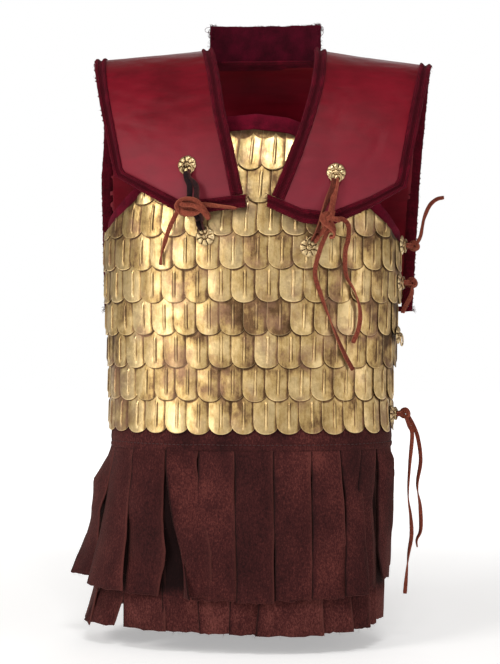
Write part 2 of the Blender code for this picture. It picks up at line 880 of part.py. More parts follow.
def join(obj, others):
    """Adds helper shapes to an object with Boolean unions."""
    for other in others:
        CUTTERS.objects.link(other)
        other.hide_render = True
        other.display_type = "WIRE"
        union = obj.modifiers.new("with " + other.name, "BOOLEAN")
        union.operation = "UNION"
        union.object = other


def tube(name, points, width, look, radii=None, resolution=2):
    """A thong as a curve through its points, with a radius for each when it has a knot."""
    data = bpy.data.curves.new(name, "CURVE")
    data.dimensions = "3D"
    data.bevel_depth = width / 2
    data.bevel_resolution = resolution
    data.use_fill_caps = True
    spline = data.splines.new("POLY")
    spline.points.add(len(points) - 1)
    for index, point in enumerate(points):
        spline.points[index].co = (*point, 1)
        spline.points[index].radius = radii[index] if radii else 1
    return place(name, data, look)


def smooth_route(points, spacing):
    """Points at even steps along a smooth curve through a route's own points."""
    ends = [points[0] * 2 - points[1]] + points + [points[-1] * 2 - points[-2]]
    fine = []
    for a, b, c, d in zip(ends, ends[1:], ends[2:], ends[3:]):
        for step in range(12):
            t = step / 12
            fine.append(
                0.5
                * (
                    2 * b
                    + (c - a) * t
                    + (2 * a - 5 * b + 4 * c - d) * t**2
                    + (3 * b - a - 3 * c + d) * t**3
                )
            )
    fine.append(points[-1])
    lengths = [0.0]
    for start, end in zip(fine, fine[1:]):
        lengths.append(lengths[-1] + (end - start).length)
    count = max(int(round(lengths[-1] / spacing)), 3)
    route = []
    for step in range(count + 1):
        target = lengths[-1] * step / count
        index = min(max(bisect_right(lengths, target), 1), len(fine) - 1)
        part = (target - lengths[index - 1]) / (lengths[index] - lengths[index - 1])
        route.append(fine[index - 1].lerp(fine[index], part))
    return route


def tie(name, start, middle, end, rise, knot):
    """A doubled thong from ring to ring by way of its knot in the middle; rise arches each half."""
    points, radii = [], []
    half = TIE_STEPS // 2
    for step in range(TIE_STEPS + 1):
        low, high = (start, middle) if step < half else (middle, end)
        part = step / half - (step >= half)
        points.append(low.lerp(high, part) + rise * math.sin(math.pi * part))
        fat = math.exp(-(((step / TIE_STEPS - 0.5) / 0.16) ** 2))
        radii.append(1 + (knot - 1) * fat)
    tube(name, points, TIE_WIDTH, "thong", radii)


def ring_end(matrix, pull):
    """The place just past the far side of a pulled ring, where a thong takes hold."""
    reach = 2 * RING_RADIUS + RING_WIRE + THONG_GAP
    return matrix @ Vector((pull[0] * reach, pull[1] * reach, RING_LIFT))


def chest_fittings():
    matrices = {}
    for row in CHEST_ROSETTES:
        if row.name.startswith("upper"):
            spot, outward = on_yoke(row.x, row.height, LEATHER / 2 + SEAT_GAP)
            matrices[row.name] = facing(spot, outward, Vector((0, 0, 1)))
        else:
            matrices[row.name] = seat(around_of(row.x, row.height), row.height)
    for side in ("right", "left"):
        upper, lower = matrices["upper_" + side], matrices["lower_" + side]
        knot = chest_point(CHEST_KNOTS[side])
        ends = []
        for name, matrix in (("upper", upper), ("lower", lower)):
            local = matrix.inverted() @ knot
            pull = local.xy.normalized()
            rosette("rosette_%s_%s" % (name, side), matrix, pull)
            ends.append(ring_end(matrix, pull))
        outward = (upper.col[2] + lower.col[2]).to_3d().normalized()
        tie("chest_tie_" + side, ends[0], knot, ends[1], outward * CHEST_RISE, CHEST_KNOT)


def scale_face(around, height):
    """How far the outermost face of the scales or band stands off the felt at a place."""
    top = upper_edge(around) - BAND_WIDTH
    if height > top:
        return BAND / 2 + BAND_RIDGE
    face = FELT / 2
    for number in range(FRONT_ROWS):
        hem = LOWEST_ROW + number * ROW_PITCH
        edge, rib = scale_form((around * SCALES_PER_HALF - 0.5 * (number % 2)) % 1)
        rise = height - hem
        if edge <= rise <= SCALE_LENGTH:
            fade = 1 - (rise - edge) / (SCALE_LENGTH - edge)
            face = max(face, stand_off(rise) + rib * fade + BRASS / 2)
    return face


def seat(around, height):
    """The matrix of a rosette that just rests on what lies under its disc."""
    spot, outward = on_torso(around, height, 0)
    outward = outward.normalized()
    length = outline(round(height, 6))[0][1][-1]
    highest = 0
    for part in (0, 0.25, 0.5, 0.75, 1):
        for step in range(16):
            turn = step * math.pi / 8
            place_around = around + part * ROSETTE_RADIUS * math.cos(turn) / length
            place_height = height + part * ROSETTE_RADIUS * math.sin(turn)
            face = scale_face(place_around, place_height)
            reach = (skin(place_around, place_height, face) - spot).dot(outward)
            highest = max(highest, reach)
    return facing(spot + outward * (highest + SEAT_GAP), outward, Vector((0, 0, 1)))


def around_of(x, height):
    """The place around the front at a given x."""
    low, high = 0.0, 1.0
    for _ in range(30):
        middle = (low + high) / 2
        if skin(middle, height).x > x:
            low = middle
        else:
            high = middle
    return middle


def side_fittings():
    for number, height in enumerate(SIDE_HEIGHTS):
        front = seat(SIDE_FRONT, height)
        back = seat(SIDE_BACK, height)
        name = "side_%d" % (number + 1)
        if number == EMPTY:
            rosette("rosette_front_" + name, front, None)
            rosette("rosette_back_" + name, back, None)
            empty_ring(front)
            continue
        rosette("rosette_front_" + name, front, (1, 0))
        rosette("rosette_back_" + name, back, (-1, 0))
        start, end = ring_end(front, (1, 0)), ring_end(back, (-1, 0))
        knot = (start + end) / 2 + Vector((SIDE_BULGE, 0, 0))
        tie("tie_" + name, start, knot, end, Vector((SIDE_RISE, 0, 0)), SIDE_KNOT)


def empty_ring(matrix):
    """The ring that hangs free in its staple, with its origin on the line it swings about."""
    obj = primitive_torus("empty_ring", RING_RADIUS, RING_WIRE)
    for vertex in obj.data.vertices:
        vertex.co.y -= RING_RADIUS
    obj.data.materials.append(LOOKS["brass"])
    PARTS.objects.link(obj)
    obj.matrix_world = matrix @ Matrix.Translation((0, 0, RING_AXIS))


def free_ends():
    routes = {name: [chest_point(row) for row in rows] for name, rows in CHEST_ENDS.items()}
    routes.update({name: [Vector(row) for row in rows] for name, rows in SIDE_ENDS.items()})
    for name, points in routes.items():
        tube(name, smooth_route(points, THONG_STEP), THONG, "thong")


def build():
    front = (OPENING_EDGE, SIDE_SEAM)
    back = (SIDE_SEAM, 2 - OPENING_EDGE)
    panel("front", *front, FRONT_BANDS)
    panel("back", *back, BACK_BANDS)
    yoke()
    neck_guard()
    for number in range(FRONT_ROWS):
        scale_row(number)
    waistband("front", *front)
    waistband("back", *back)
    for name, cuts, base, side, strips in (
        ("outer_front", FRONT_CUTS, WAIST_OUT, 1, FRONT_OUTER),
        ("outer_back", BACK_CUTS, WAIST_OUT, 1, BACK_OUTER),
        ("inner_front", FRONT_CUTS, -INNER_DROP, -1, FRONT_INNER),
        ("inner_back", BACK_CUTS, -INNER_DROP, -1, BACK_INNER),
    ):
        top, hem = (WAIST_BOTTOM, OUTER_HEM) if side > 0 else (BODY_BOTTOM, INNER_HEM)
        pteruges("pteruges_" + name, cuts, top, hem, base, side, strips)
    chest_fittings()
    side_fittings()
    free_ends()


clear_scene()
PARTS = collection("scale_armour")
CUTTERS = collection("cutters")
LOOKS = {
    "brass": material("brass", BRASS_LOOK),
    "felt": material("felt", FELT_LOOK),
    "leather": material("leather", LEATHER_LOOK),
    "suede": material("suede", SUEDE_LOOK),
    "thong": material("thong", THONG_LOOK),
}
build()
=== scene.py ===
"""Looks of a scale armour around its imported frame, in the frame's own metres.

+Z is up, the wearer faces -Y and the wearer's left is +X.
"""

import math
import random
from bisect import bisect_right
from collections import namedtuple
from functools import lru_cache

import bpy
from mathutils import Matrix, Vector, noise


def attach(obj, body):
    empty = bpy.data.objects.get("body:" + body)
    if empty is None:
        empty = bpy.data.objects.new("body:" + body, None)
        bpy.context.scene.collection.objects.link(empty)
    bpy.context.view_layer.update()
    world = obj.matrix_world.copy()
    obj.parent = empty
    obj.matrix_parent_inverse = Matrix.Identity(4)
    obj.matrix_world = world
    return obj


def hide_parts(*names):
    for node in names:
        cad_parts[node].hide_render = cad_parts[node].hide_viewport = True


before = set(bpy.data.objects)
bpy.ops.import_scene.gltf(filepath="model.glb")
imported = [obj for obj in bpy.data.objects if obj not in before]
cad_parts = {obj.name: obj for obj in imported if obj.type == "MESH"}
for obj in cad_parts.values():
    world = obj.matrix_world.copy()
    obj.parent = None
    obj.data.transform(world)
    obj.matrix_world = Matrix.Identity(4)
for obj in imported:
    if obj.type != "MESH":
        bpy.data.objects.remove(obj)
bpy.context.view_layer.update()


# Thickness of each stuff
FELT = 0.003
LEATHER = 0.003
BAND = 0.0045
BRASS = 0.0015
SUEDE = 0.002

# Body of felt
BODY_BOTTOM = -0.520
BAND_WIDTH = 0.020
BAND_RIDGE = 0.0008
OPENING_EDGE = 0.006
SIDE_SEAM = 1.0
SQUARENESS = 2.35
TILT = 0.006

# Scales
SCALES_PER_HALF = 17
ROW_PITCH = 0.0431
LOWEST_ROW = -0.5114
SCALE_LENGTH = 0.062
FRONT_ROWS = 9
WRAPPED_ROWS = 6
TUCK = 0.0034
FLARE = 0.0070
RIB = 0.0015
NOTCH = 0.017
BARE_EDGE = 0.030

# Yoke
BACK_CURVE = 0.150
YOKE_HEM = -0.348
BINDING_WIDTH = 0.016
FLAP_REACH = 0.147
BACK_REACH = 0.131
GUARD_TOP = 0.054

# Waist and pteruges
WAIST_TOP = -0.498
WAIST_BOTTOM = -0.5335
OUTER_HEM = -0.726
INNER_HEM = -0.770
SLIT = 0.0016
INNER_DROP = 0.0004

# Brass fittings
ROSETTE_RADIUS = 0.0125
RING_RADIUS = 0.0072
RING_WIRE = 0.0011
SEAT_GAP = 0.0004

# Outer form of the torso: a row for each height
Section = namedtuple("Section", "height middle half_width front back")
SECTIONS = [
    Section(-0.060, 0.000, 0.188, 0.086, 0.090),
    Section(-0.090, -0.003, 0.192, 0.099, 0.100),
    Section(-0.130, -0.006, 0.196, 0.113, 0.109),
    Section(-0.170, -0.009, 0.198, 0.122, 0.114),
    Section(-0.240, -0.013, 0.199, 0.128, 0.116),
    Section(-0.330, -0.015, 0.196, 0.124, 0.112),
    Section(-0.400, -0.016, 0.192, 0.118, 0.107),
    Section(-0.470, -0.017, 0.189, 0.115, 0.106),
    Section(-0.535, -0.017, 0.188, 0.118, 0.111),
    Section(-0.620, -0.018, 0.193, 0.127, 0.120),
    Section(-0.700, -0.018, 0.198, 0.132, 0.126),
    Section(-0.790, -0.018, 0.203, 0.136, 0.131),
]

# Upper edge of each panel: aside is the distance from the middle, as a part of the half turn
Edge = namedtuple("Edge", "aside height")
FRONT_EDGE = [
    Edge(0.00, -0.090),
    Edge(0.09, -0.095),
    Edge(0.15, -0.106),
    Edge(0.20, -0.130),
    Edge(0.25, -0.162),
    Edge(0.30, -0.188),
    Edge(0.36, -0.210),
    Edge(0.42, -0.228),
    Edge(0.50, -0.241),
]
BACK_EDGE = [
    Edge(0.00, -0.075),
    Edge(0.16, -0.082),
    Edge(0.22, -0.115),
    Edge(0.28, -0.165),
    Edge(0.36, -0.205),
    Edge(0.42, -0.226),
    Edge(0.50, -0.241),
]

# Flap outline: inner edge down the flap, and the height of its lower edge
InnerEdge = namedtuple("InnerEdge", "down right left")
INNER_EDGE = [
    InnerEdge(0.000, 0.0700, 0.0700),
    InnerEdge(0.150, 0.0655, 0.0722),
    InnerEdge(0.430, 0.0520, 0.0705),
    InnerEdge(0.625, 0.0413, 0.0587),
    InnerEdge(0.800, 0.0276, 0.0400),
    InnerEdge(1.000, 0.0127, 0.0150),
]
LowerEdge = namedtuple("LowerEdge", "x right left")
LOWER_EDGE = [
    LowerEdge(0.000, -0.216, -0.213),
    LowerEdge(0.014, -0.217, -0.216),
    LowerEdge(0.060, -0.222, -0.237),
    LowerEdge(0.096, -0.225, -0.241),
    LowerEdge(0.146, -0.197, -0.218),
    LowerEdge(0.191, -0.171, -0.191),
    LowerEdge(0.240, -0.160, -0.172),
]

# Where the strips part, around the body from the wearer's left
FRONT_CUTS = (
    0.006, 0.066, 0.1322, 0.1861, 0.2497, 0.3264, 0.426,
    0.5258, 0.6189, 0.7124, 0.8126, 0.905, 1.0,
)
BACK_CUTS = (1.0, 1.085, 1.17, 1.262, 1.354, 1.446, 1.538, 1.63, 1.722, 1.814, 1.904, 1.994)

# How soon a strip lifts on its way down, away from the other layer and towards it
LIFT_AWAY = 1.3
LIFT_TOWARDS = 2.6

# How each strip falls: shift along the body, lift away from the other layer, twist, and hem
Strip = namedtuple("Strip", "shift lift twist hem")
FRONT_OUTER = [
    Strip(0.002, -0.012, 0.0, 0.030),
    Strip(0.001, -0.007, 0.0, 0.020),
    Strip(0.001, -0.001, 0.0, 0.010),
    Strip(-0.005, 0.009, 0.0, 0.005),
    Strip(0.001, 0.005, 0.0, 0.002),
    Strip(0.000, 0.004, 0.0, 0.001),
    Strip(0.000, 0.005, 0.0, -0.002),
    Strip(0.000, 0.003, 0.0, 0.000),
    Strip(-0.018, 0.008, 0.45, 0.005),
    Strip(0.003, 0.005, 0.1, 0.004),
    Strip(0.001, 0.022, 0.0, 0.008),
    Strip(0.000, 0.042, 0.0, 0.016),
]
BACK_OUTER = [
    Strip(0.002, 0.036, 0.0, 0.012),
    Strip(0.004, 0.012, 0.0, 0.006),
    Strip(0.002, 0.005, 0.2, 0.002),
    Strip(0.000, 0.006, 0.0, 0.000),
    Strip(-0.002, 0.004, -0.2, -0.003),
    Strip(0.001, 0.005, 0.0, 0.001),
    Strip(0.003, 0.006, 0.2, -0.002),
    Strip(0.000, 0.004, 0.0, 0.000),
    Strip(-0.003, 0.006, -0.2, 0.003),
    Strip(-0.002, -0.002, 0.0, 0.006),
    Strip(0.000, -0.012, 0.0, 0.022),
]
FRONT_INNER = [
    Strip(0.004, 0.022, 0.0, 0.016),
    Strip(0.004, 0.016, 0.0, 0.008),
    Strip(0.003, 0.009, 0.0, 0.004),
    Strip(-0.006, 0.006, 0.0, 0.002),
    Strip(-0.008, 0.002, 0.0, 0.000),
    Strip(-0.006, -0.001, 0.0, -0.003),
    Strip(0.002, 0.000, 0.0, -0.001),
    Strip(-0.004, -0.001, 0.0, 0.000),
    Strip(-0.010, 0.000, 0.0, 0.000),
    Strip(-0.008, -0.001, 0.0, 0.000),
    Strip(0.000, -0.006, 0.0, 0.000),
    Strip(0.000, -0.026, 0.0, -0.004),
]
BACK_INNER = [
    Strip(0.000, -0.026, 0.0, 0.000),
    Strip(0.000, -0.004, 0.0, 0.003),
    Strip(0.000, 0.001, 0.0, 0.000),
    Strip(-0.001, 0.000, 0.1, -0.002),
    Strip(0.000, -0.001, 0.0, 0.001),
    Strip(0.001, 0.000, 0.0, -0.003),
    Strip(0.000, -0.001, -0.1, 0.000),
    Strip(0.000, 0.000, 0.0, 0.002),
    Strip(0.000, 0.006, 0.0, 0.000),
    Strip(-0.004, 0.014, 0.0, 0.008),
    Strip(-0.004, 0.022, 0.0, 0.016),
]

# Rosettes of the chest
Chest = namedtuple("Chest", "name x height")
CHEST_ROSETTES = [
    Chest("upper_right", -0.0898, -0.1610),
    Chest("upper_left", 0.1032, -0.1720),
    Chest("lower_right", -0.0655, -0.2537),
    Chest("lower_left", 0.0669, -0.2684),
]

# Heights of the rosettes down the left opening; one front ring is empty and swings
SIDE_HEIGHTS = [-0.260, -0.3106, -0.382, -0.4894]
EMPTY = 2
SIDE_FRONT = 0.055
SIDE_BACK = 1.945
RING_AXIS = 0.0060
RING_LIFT = 0.0046
THONG_GAP = 0.0005

# A place in front of the torso, with how far it stands off it
OnBody = namedtuple("OnBody", "x height clear")

CHEST_KNOTS = {
    "right": OnBody(-0.0812, -0.2127, 0.0340),
    "left": OnBody(0.0947, -0.2331, 0.0340),
}
SIDE_BULGE = 0.010

# Form of the yoke
RIDGE_TOP = 0.010
RIDGE_DROP_RIGHT = 0.013
RIDGE_DROP_LEFT = 0.026
NECK_HALF = 0.070
SHOULDER_HALF = 0.230
FLAP_HALF = 0.191
FLAP_ROUND = 0.040
BACK_ROUND = 0.016
YOKE_LEAN = 0.010

# Half width of the yoke on each side: on the shoulder, at the flap's and the back's fall, at the hem
YokeSide = namedtuple("YokeSide", "shoulder flap back hem")
YOKE_SIDES = {
    -1: YokeSide(0.2325, 0.1893, 0.2410, 0.2310),
    1: YokeSide(0.2300, 0.1943, 0.2220, 0.2170),
}
NECK_RUN = 0.223

# Neck guard, which stands on the yoke behind the neck
GUARD_HALF = 0.077
GUARD_BACK = 0.055
GUARD_BEND = 0.020
GUARD_SEAT = 0.0050
GUARD_LEAN = 0.003
GUARD_CORNER = 0.003

# Bands along the panels' upper edges, from and to a place around the body
FRONT_BANDS = [
    ("armhole_band_front_left", 0.0, 0.30),
    ("neckline_band", 0.30, 0.70),
    ("armhole_band_front_right", 0.70, 1.01),
]
BACK_BANDS = [
    ("armhole_band_back_right", 0.99, 1.30),
    ("back_neck_band", 1.30, 1.70),
    ("armhole_band_back_left", 1.70, 2.01),
]

# How far the waistband stands off the torso, and the steps of the torso's half outline
WAIST_OUT = 0.003
OUTLINE_STEPS = 96

# Lower edge of a scale: where its straight middle ends, as a part of the half width, and the rise there
SCALE_SHOULDER = 0.8
SHOULDER_RISE = 0.0058


# Free thong ends on the chest, point by point
CHEST_ENDS = {
    "thong_end_a": [
        OnBody(0.1006, -0.2332, 0.0337),
        OnBody(0.1125, -0.2334, 0.0335),
        OnBody(0.1195, -0.2414, 0.0300),
        OnBody(0.1187, -0.2589, 0.0215),
        OnBody(0.1153, -0.2729, 0.0160),
        OnBody(0.1159, -0.3032, 0.0128),
        OnBody(0.1275, -0.3258, 0.0125),
        OnBody(0.1339, -0.3492, 0.0125),
        OnBody(0.1326, -0.3714, 0.0125),
        OnBody(0.1248, -0.3924, 0.0125),
    ],
    "thong_end_b": [
        OnBody(0.0964, -0.2426, 0.0330),
        OnBody(0.0895, -0.2559, 0.0285),
        OnBody(0.0824, -0.2735, 0.0210),
        OnBody(0.0761, -0.3016, 0.0140),
        OnBody(0.0837, -0.3300, 0.0125),
        OnBody(0.0984, -0.3702, 0.0125),
        OnBody(0.1131, -0.4054, 0.0125),
        OnBody(0.1248, -0.4278, 0.0125),
    ],
    "thong_end_c": [
        OnBody(-0.0866, -0.2151, 0.0327),
        OnBody(-0.0988, -0.2204, 0.0300),
        OnBody(-0.1074, -0.2329, 0.0250),
        OnBody(-0.1151, -0.2478, 0.0185),
        OnBody(-0.1219, -0.2670, 0.0140),
        OnBody(-0.1256, -0.2799, 0.0128),
        OnBody(-0.1264, -0.2903, 0.0125),
    ],
    "thong_end_d": [
        OnBody(-0.0750, -0.2132, 0.0326),
        OnBody(-0.0620, -0.2143, 0.0300),
        OnBody(-0.0440, -0.2163, 0.0275),
        OnBody(-0.0232, -0.2191, 0.0275),
    ],
}

# Free thong ends at the side opening, as points in space
Place = namedtuple("Place", "x y z")
SIDE_ENDS = {
    "thong_end_e": [
        Place(0.2112, -0.002, -0.2560),
        Place(0.2155, -0.004, -0.2470),
        Place(0.2180, -0.006, -0.2340),
        Place(0.2205, -0.008, -0.2221),
        Place(0.2275, -0.011, -0.2060),
        Place(0.2370, -0.013, -0.1975),
        Place(0.2470, -0.015, -0.1952),
    ],
    "thong_end_f": [
        Place(0.2045, -0.0040, -0.3166),
        Place(0.2035, -0.0120, -0.3255),
        Place(0.1985, -0.0230, -0.3360),
        Place(0.1935, -0.0330, -0.3450),
        Place(0.1905, -0.0400, -0.3520),
    ],
    "thong_end_g": [
        Place(0.1955, -0.0040, -0.4935),
        Place(0.2000, -0.0080, -0.5060),
        Place(0.2040, -0.0130, -0.5180),
        Place(0.2005, -0.0130, -0.5602),
        Place(0.1985, -0.0120, -0.6002),
        Place(0.2020, -0.0120, -0.6292),
        Place(0.2030, -0.0130, -0.6554),
        Place(0.1985, -0.0140, -0.6844),
        Place(0.1940, -0.0160, -0.7340),
    ],
    "thong_end_h": [
        Place(0.1985, 0.0036, -0.4925),
        Place(0.2060, 0.0048, -0.5060),
        Place(0.2124, 0.0050, -0.5243),
        Place(0.2160, 0.0050, -0.5546),
        Place(0.2113, 0.0050, -0.5878),
        Place(0.2153, 0.0040, -0.6174),
        Place(0.2160, 0.0030, -0.6485),
        Place(0.2105, 0.0030, -0.6630),
        Place(0.2113, 0.0020, -0.6733),
    ],
}


def between(table, key, column, value):
    """A column of a table at a value of its key column, on a smooth curve through its rows."""
    rows = sorted(table, key=lambda row: getattr(row, key))
    keys = [getattr(row, key) for row in rows]
    values = [getattr(row, column) for row in rows]
    if value <= keys[0]:
        return values[0]
    if value >= keys[-1]:
        return values[-1]
    index = bisect_right(keys, value)
    low, high = index - 1, index
    span = keys[high] - keys[low]
    part = (value - keys[low]) / span

    def slope(here):
        before, after = max(here - 1, 0), min(here + 1, len(keys) - 1)
        return (values[after] - values[before]) / (keys[after] - keys[before])

    return (
        values[low] * (1 + 2 * part) * (1 - part) ** 2
        + values[high] * part**2 * (3 - 2 * part)
        + slope(low) * span * part * (1 - part) ** 2
        - slope(high) * span * part**2 * (1 - part)
    )


def straight(table, key, column, value):
    """A column of a table at a value of its key column, straight between rows."""
    low = table[0]
    for row in table:
        if getattr(row, key) >= value:
            span = getattr(row, key) - getattr(low, key)
            part = (value - getattr(low, key)) / span if span else 0
            return getattr(low, column) * (1 - part) + getattr(row, column) * part
        low = row
    return getattr(low, column)


@lru_cache(maxsize=None)
def section(height):
    return Section(
        height,
        between(SECTIONS, "height", "middle", height),
        between(SECTIONS, "height", "half_width", height),
        between(SECTIONS, "height", "front", height),
        between(SECTIONS, "height", "back", height),
    )


@lru_cache(maxsize=None)
def outline(height):
    """Front and back half of the torso at a height, each as its points and running lengths.

    The front runs from the wearer's left to the right, and the back from there to the left.
    """
    here = section(height)
    power = 2 / SQUARENESS
    halves = []
    for depth, side in ((-here.front, 1), (here.back, -1)):
        points, lengths = [], [0.0]
        for step in range(OUTLINE_STEPS + 1):
            turn = math.pi * (0.5 - step / OUTLINE_STEPS)
            across = math.copysign(abs(math.sin(turn)) ** power, turn)
            ahead = max(math.cos(turn), 0) ** power
            points.append(
                Vector((here.middle + side * here.half_width * across, depth * ahead))
            )
        for start, end in zip(points, points[1:]):
            lengths.append(lengths[-1] + (end - start).length)
        halves.append((points, lengths))
    return halves


def skin(around, height, out=0.0):
    """A point of the torso: around is 0 at the wearer's left, 1 at the right, 2 at the left again."""
    half = 0 if around <= 1 else 1
    points, lengths = outline(round(height, 6))[half]
    target = min(max(around - half, 0), 1) * lengths[-1]
    index = min(max(bisect_right(lengths, target), 1), len(points) - 1)
    start, end = points[index - 1], points[index]
    part = (target - lengths[index - 1]) / (lengths[index] - lengths[index - 1])
    spot = start.lerp(end, part)
    along = (end - start).normalized()
    return Vector((spot.x - along.y * out, spot.y + along.x * out, height))


def chest_point(row):
    """A point in front of the torso at a given x, standing off it along its slope."""

    def depth(x):
        here = section(round(row.height, 6))
        aside = min(abs(x - here.middle) / here.half_width, 0.999)
        return -here.front * (1 - aside**SQUARENESS) ** (1 / SQUARENESS)

    step = 0.002
    slope = (depth(row.x + step) - depth(row.x - step)) / (2 * step)
    return Vector((row.x, depth(row.x) - row.clear * math.hypot(1, slope), row.height))


def upper_edge(around):
    """Height of the panel's upper edge, a little lower on the wearer's left."""
    if around <= 1:
        lean = 1 - 2 * around
        return straight(FRONT_EDGE, "aside", "height", abs(around - 0.5)) - TILT * lean
    lean = 2 * around - 3
    return straight(BACK_EDGE, "aside", "height", abs(around - 1.5)) - TILT * lean


def columns_of(start, end, count):
    """Places around the body from the wearer's right towards the left, as seen from outside."""
    return [end + (start - end) * step / count for step in range(count + 1)]


def scale_form(phase):
    """The lower edge of one scale over its width: how far it rises, and its middle rib."""
    aside = abs(phase - 0.5) * 2
    if aside > SCALE_SHOULDER:
        rise = NOTCH - (NOTCH - SHOULDER_RISE) * (1 - aside) / (1 - SCALE_SHOULDER)
    else:
        rise = SHOULDER_RISE * aside / SCALE_SHOULDER
    return rise, RIB * max(0, 1 - aside / SCALE_SHOULDER)


def stand_off(rise):
    """How far a scale stands off the felt, at a height above its tip."""
    return TUCK + (FLARE - TUCK) * (1 - rise / SCALE_LENGTH)


def ridge_height(x):
    drop = RIDGE_DROP_LEFT if x > 0 else RIDGE_DROP_RIGHT
    aside = max(abs(x) - NECK_HALF, 0) / (SHOULDER_HALF - NECK_HALF)
    return RIDGE_TOP - drop * aside**0.8


def yoke_spot(x, run):
    """A point of the yoke: run is -1 at a flap's lower edge, 0 on the shoulder, 2 at the back hem."""
    ridge = ridge_height(x)
    if run < 0:
        turn = -run * math.pi / 2
        lower = straight(LOWER_EDGE, "x", "left" if x > 0 else "right", abs(x))
        reach = FLAP_REACH - FLAP_ROUND * (x / FLAP_HALF) ** 2
        height = ridge - (ridge - lower) * (1 - math.cos(turn))
        return Vector((x, -reach * math.sin(turn), height))
    reach = BACK_REACH - BACK_ROUND * (x / SHOULDER_HALF) ** 2
    turn = min(run, 1) * math.pi / 2
    height = ridge - BACK_CURVE * (1 - math.cos(turn))
    if run > 1:
        height += (YOKE_HEM - height) * (run - 1)
    lean = YOKE_LEAN * min(height, 0) / YOKE_HEM
    return Vector((x - lean, reach * math.sin(turn), height))


def yoke_edges(run, side):
    """Half widths of the yoke's inner and outer edge at a place along it; side is 1 or -1."""
    form = YOKE_SIDES[side]
    down = 1 - math.cos(min(abs(run), 1) * math.pi / 2)
    if run < 0:
        inner = between(INNER_EDGE, "down", "left" if side > 0 else "right", -run)
        return inner, form.shoulder + (form.flap - form.shoulder) * down
    outer = form.shoulder + (form.back - form.shoulder) * down
    if run > 1:
        outer += (form.hem - form.back) * (run - 1)
    return NECK_HALF, outer


def facing(spot, outward, up):
    """A matrix that stands +Z of a fitting along outward and its +Y along up."""
    outward = outward.normalized()
    across = up.cross(outward).normalized()
    upward = outward.cross(across)
    turn = Matrix((across, upward, outward)).transposed().to_4x4()
    return Matrix.Translation(spot) @ turn


def on_torso(around, height, out):
    spot = skin(around, height, out)
    return spot, skin(around, height, out + 0.01) - spot


def on_yoke(x, height, out):
    """The place on a flap at a height, and its outward direction."""
    low, high = -1.0, 0.0
    for _ in range(40):
        run = (low + high) / 2
        if yoke_spot(x, run).z < height:
            low = run
        else:
            high = run
    step = 0.002
    across = yoke_spot(x + step, run) - yoke_spot(x - step, run)
    upward = yoke_spot(x, run + step) - yoke_spot(x, run - step)
    outward = across.cross(upward).normalized()
    return yoke_spot(x, run) + outward * out, outward


def smooth_route(points, spacing):
    """Points at even steps along a smooth curve through a route's own points."""
    ends = [points[0] * 2 - points[1]] + points + [points[-1] * 2 - points[-2]]
    fine = []
    for a, b, c, d in zip(ends, ends[1:], ends[2:], ends[3:]):
        for step in range(12):
            t = step / 12
            fine.append(
                0.5
                * (
                    2 * b
                    + (c - a) * t
                    + (2 * a - 5 * b + 4 * c - d) * t**2
                    + (3 * b - a - 3 * c + d) * t**3
                )
            )
    fine.append(points[-1])
    lengths = [0.0]
    for start, end in zip(fine, fine[1:]):
        lengths.append(lengths[-1] + (end - start).length)
    count = max(int(round(lengths[-1] / spacing)), 3)
    route = []
    for step in range(count + 1):
        target = lengths[-1] * step / count
        index = min(max(bisect_right(lengths, target), 1), len(fine) - 1)
        part = (target - lengths[index - 1]) / (lengths[index] - lengths[index - 1])
        route.append(fine[index - 1].lerp(fine[index], part))
    return route


def ring_end(matrix, pull):
    """The place just past the far side of a pulled ring, where a thong takes hold."""
    reach = 2 * RING_RADIUS + RING_WIRE + THONG_GAP
    return matrix @ Vector((pull[0] * reach, pull[1] * reach, RING_LIFT))


def scale_face(around, height):
    """How far the outermost face of the scales or band stands off the felt at a place."""
    top = upper_edge(around) - BAND_WIDTH
    if height > top:
        return BAND / 2 + BAND_RIDGE
    face = FELT / 2
    for number in range(FRONT_ROWS):
        hem = LOWEST_ROW + number * ROW_PITCH
        edge, rib = scale_form((around * SCALES_PER_HALF - 0.5 * (number % 2)) % 1)
        rise = height - hem
        if edge <= rise <= SCALE_LENGTH:
            fade = 1 - (rise - edge) / (SCALE_LENGTH - edge)
            face = max(face, stand_off(rise) + rib * fade + BRASS / 2)
    return face


def seat(around, height):
    """The matrix of a rosette that just rests on what lies under its disc."""
    spot, outward = on_torso(around, height, 0)
    outward = outward.normalized()
    length = outline(round(height, 6))[0][1][-1]
    highest = 0
    for part in (0, 0.25, 0.5, 0.75, 1):
        for step in range(16):
            turn = step * math.pi / 8
            place_around = around + part * ROSETTE_RADIUS * math.cos(turn) / length
            place_height = height + part * ROSETTE_RADIUS * math.sin(turn)
            face = scale_face(place_around, place_height)
            reach = (skin(place_around, place_height, face) - spot).dot(outward)
            highest = max(highest, reach)
    return facing(spot + outward * (highest + SEAT_GAP), outward, Vector((0, 0, 1)))


def around_of(x, height):
    """The place around the front at a given x."""
    low, high = 0.0, 1.0
    for _ in range(30):
        middle = (low + high) / 2
        if skin(middle, height).x > x:
            low = middle
        else:
            high = middle
    return middle


# Camera: how far from the armour's middle plane, and which way it is turned
CAMERA_DISTANCE = 2.2
CAMERA_LENS = 86.4
CAMERA_TURN = math.radians(4.5)
CAMERA_ASIDE = -0.0186
CAMERA_HEIGHT = -0.378
FLOOR_HEIGHT = -0.800


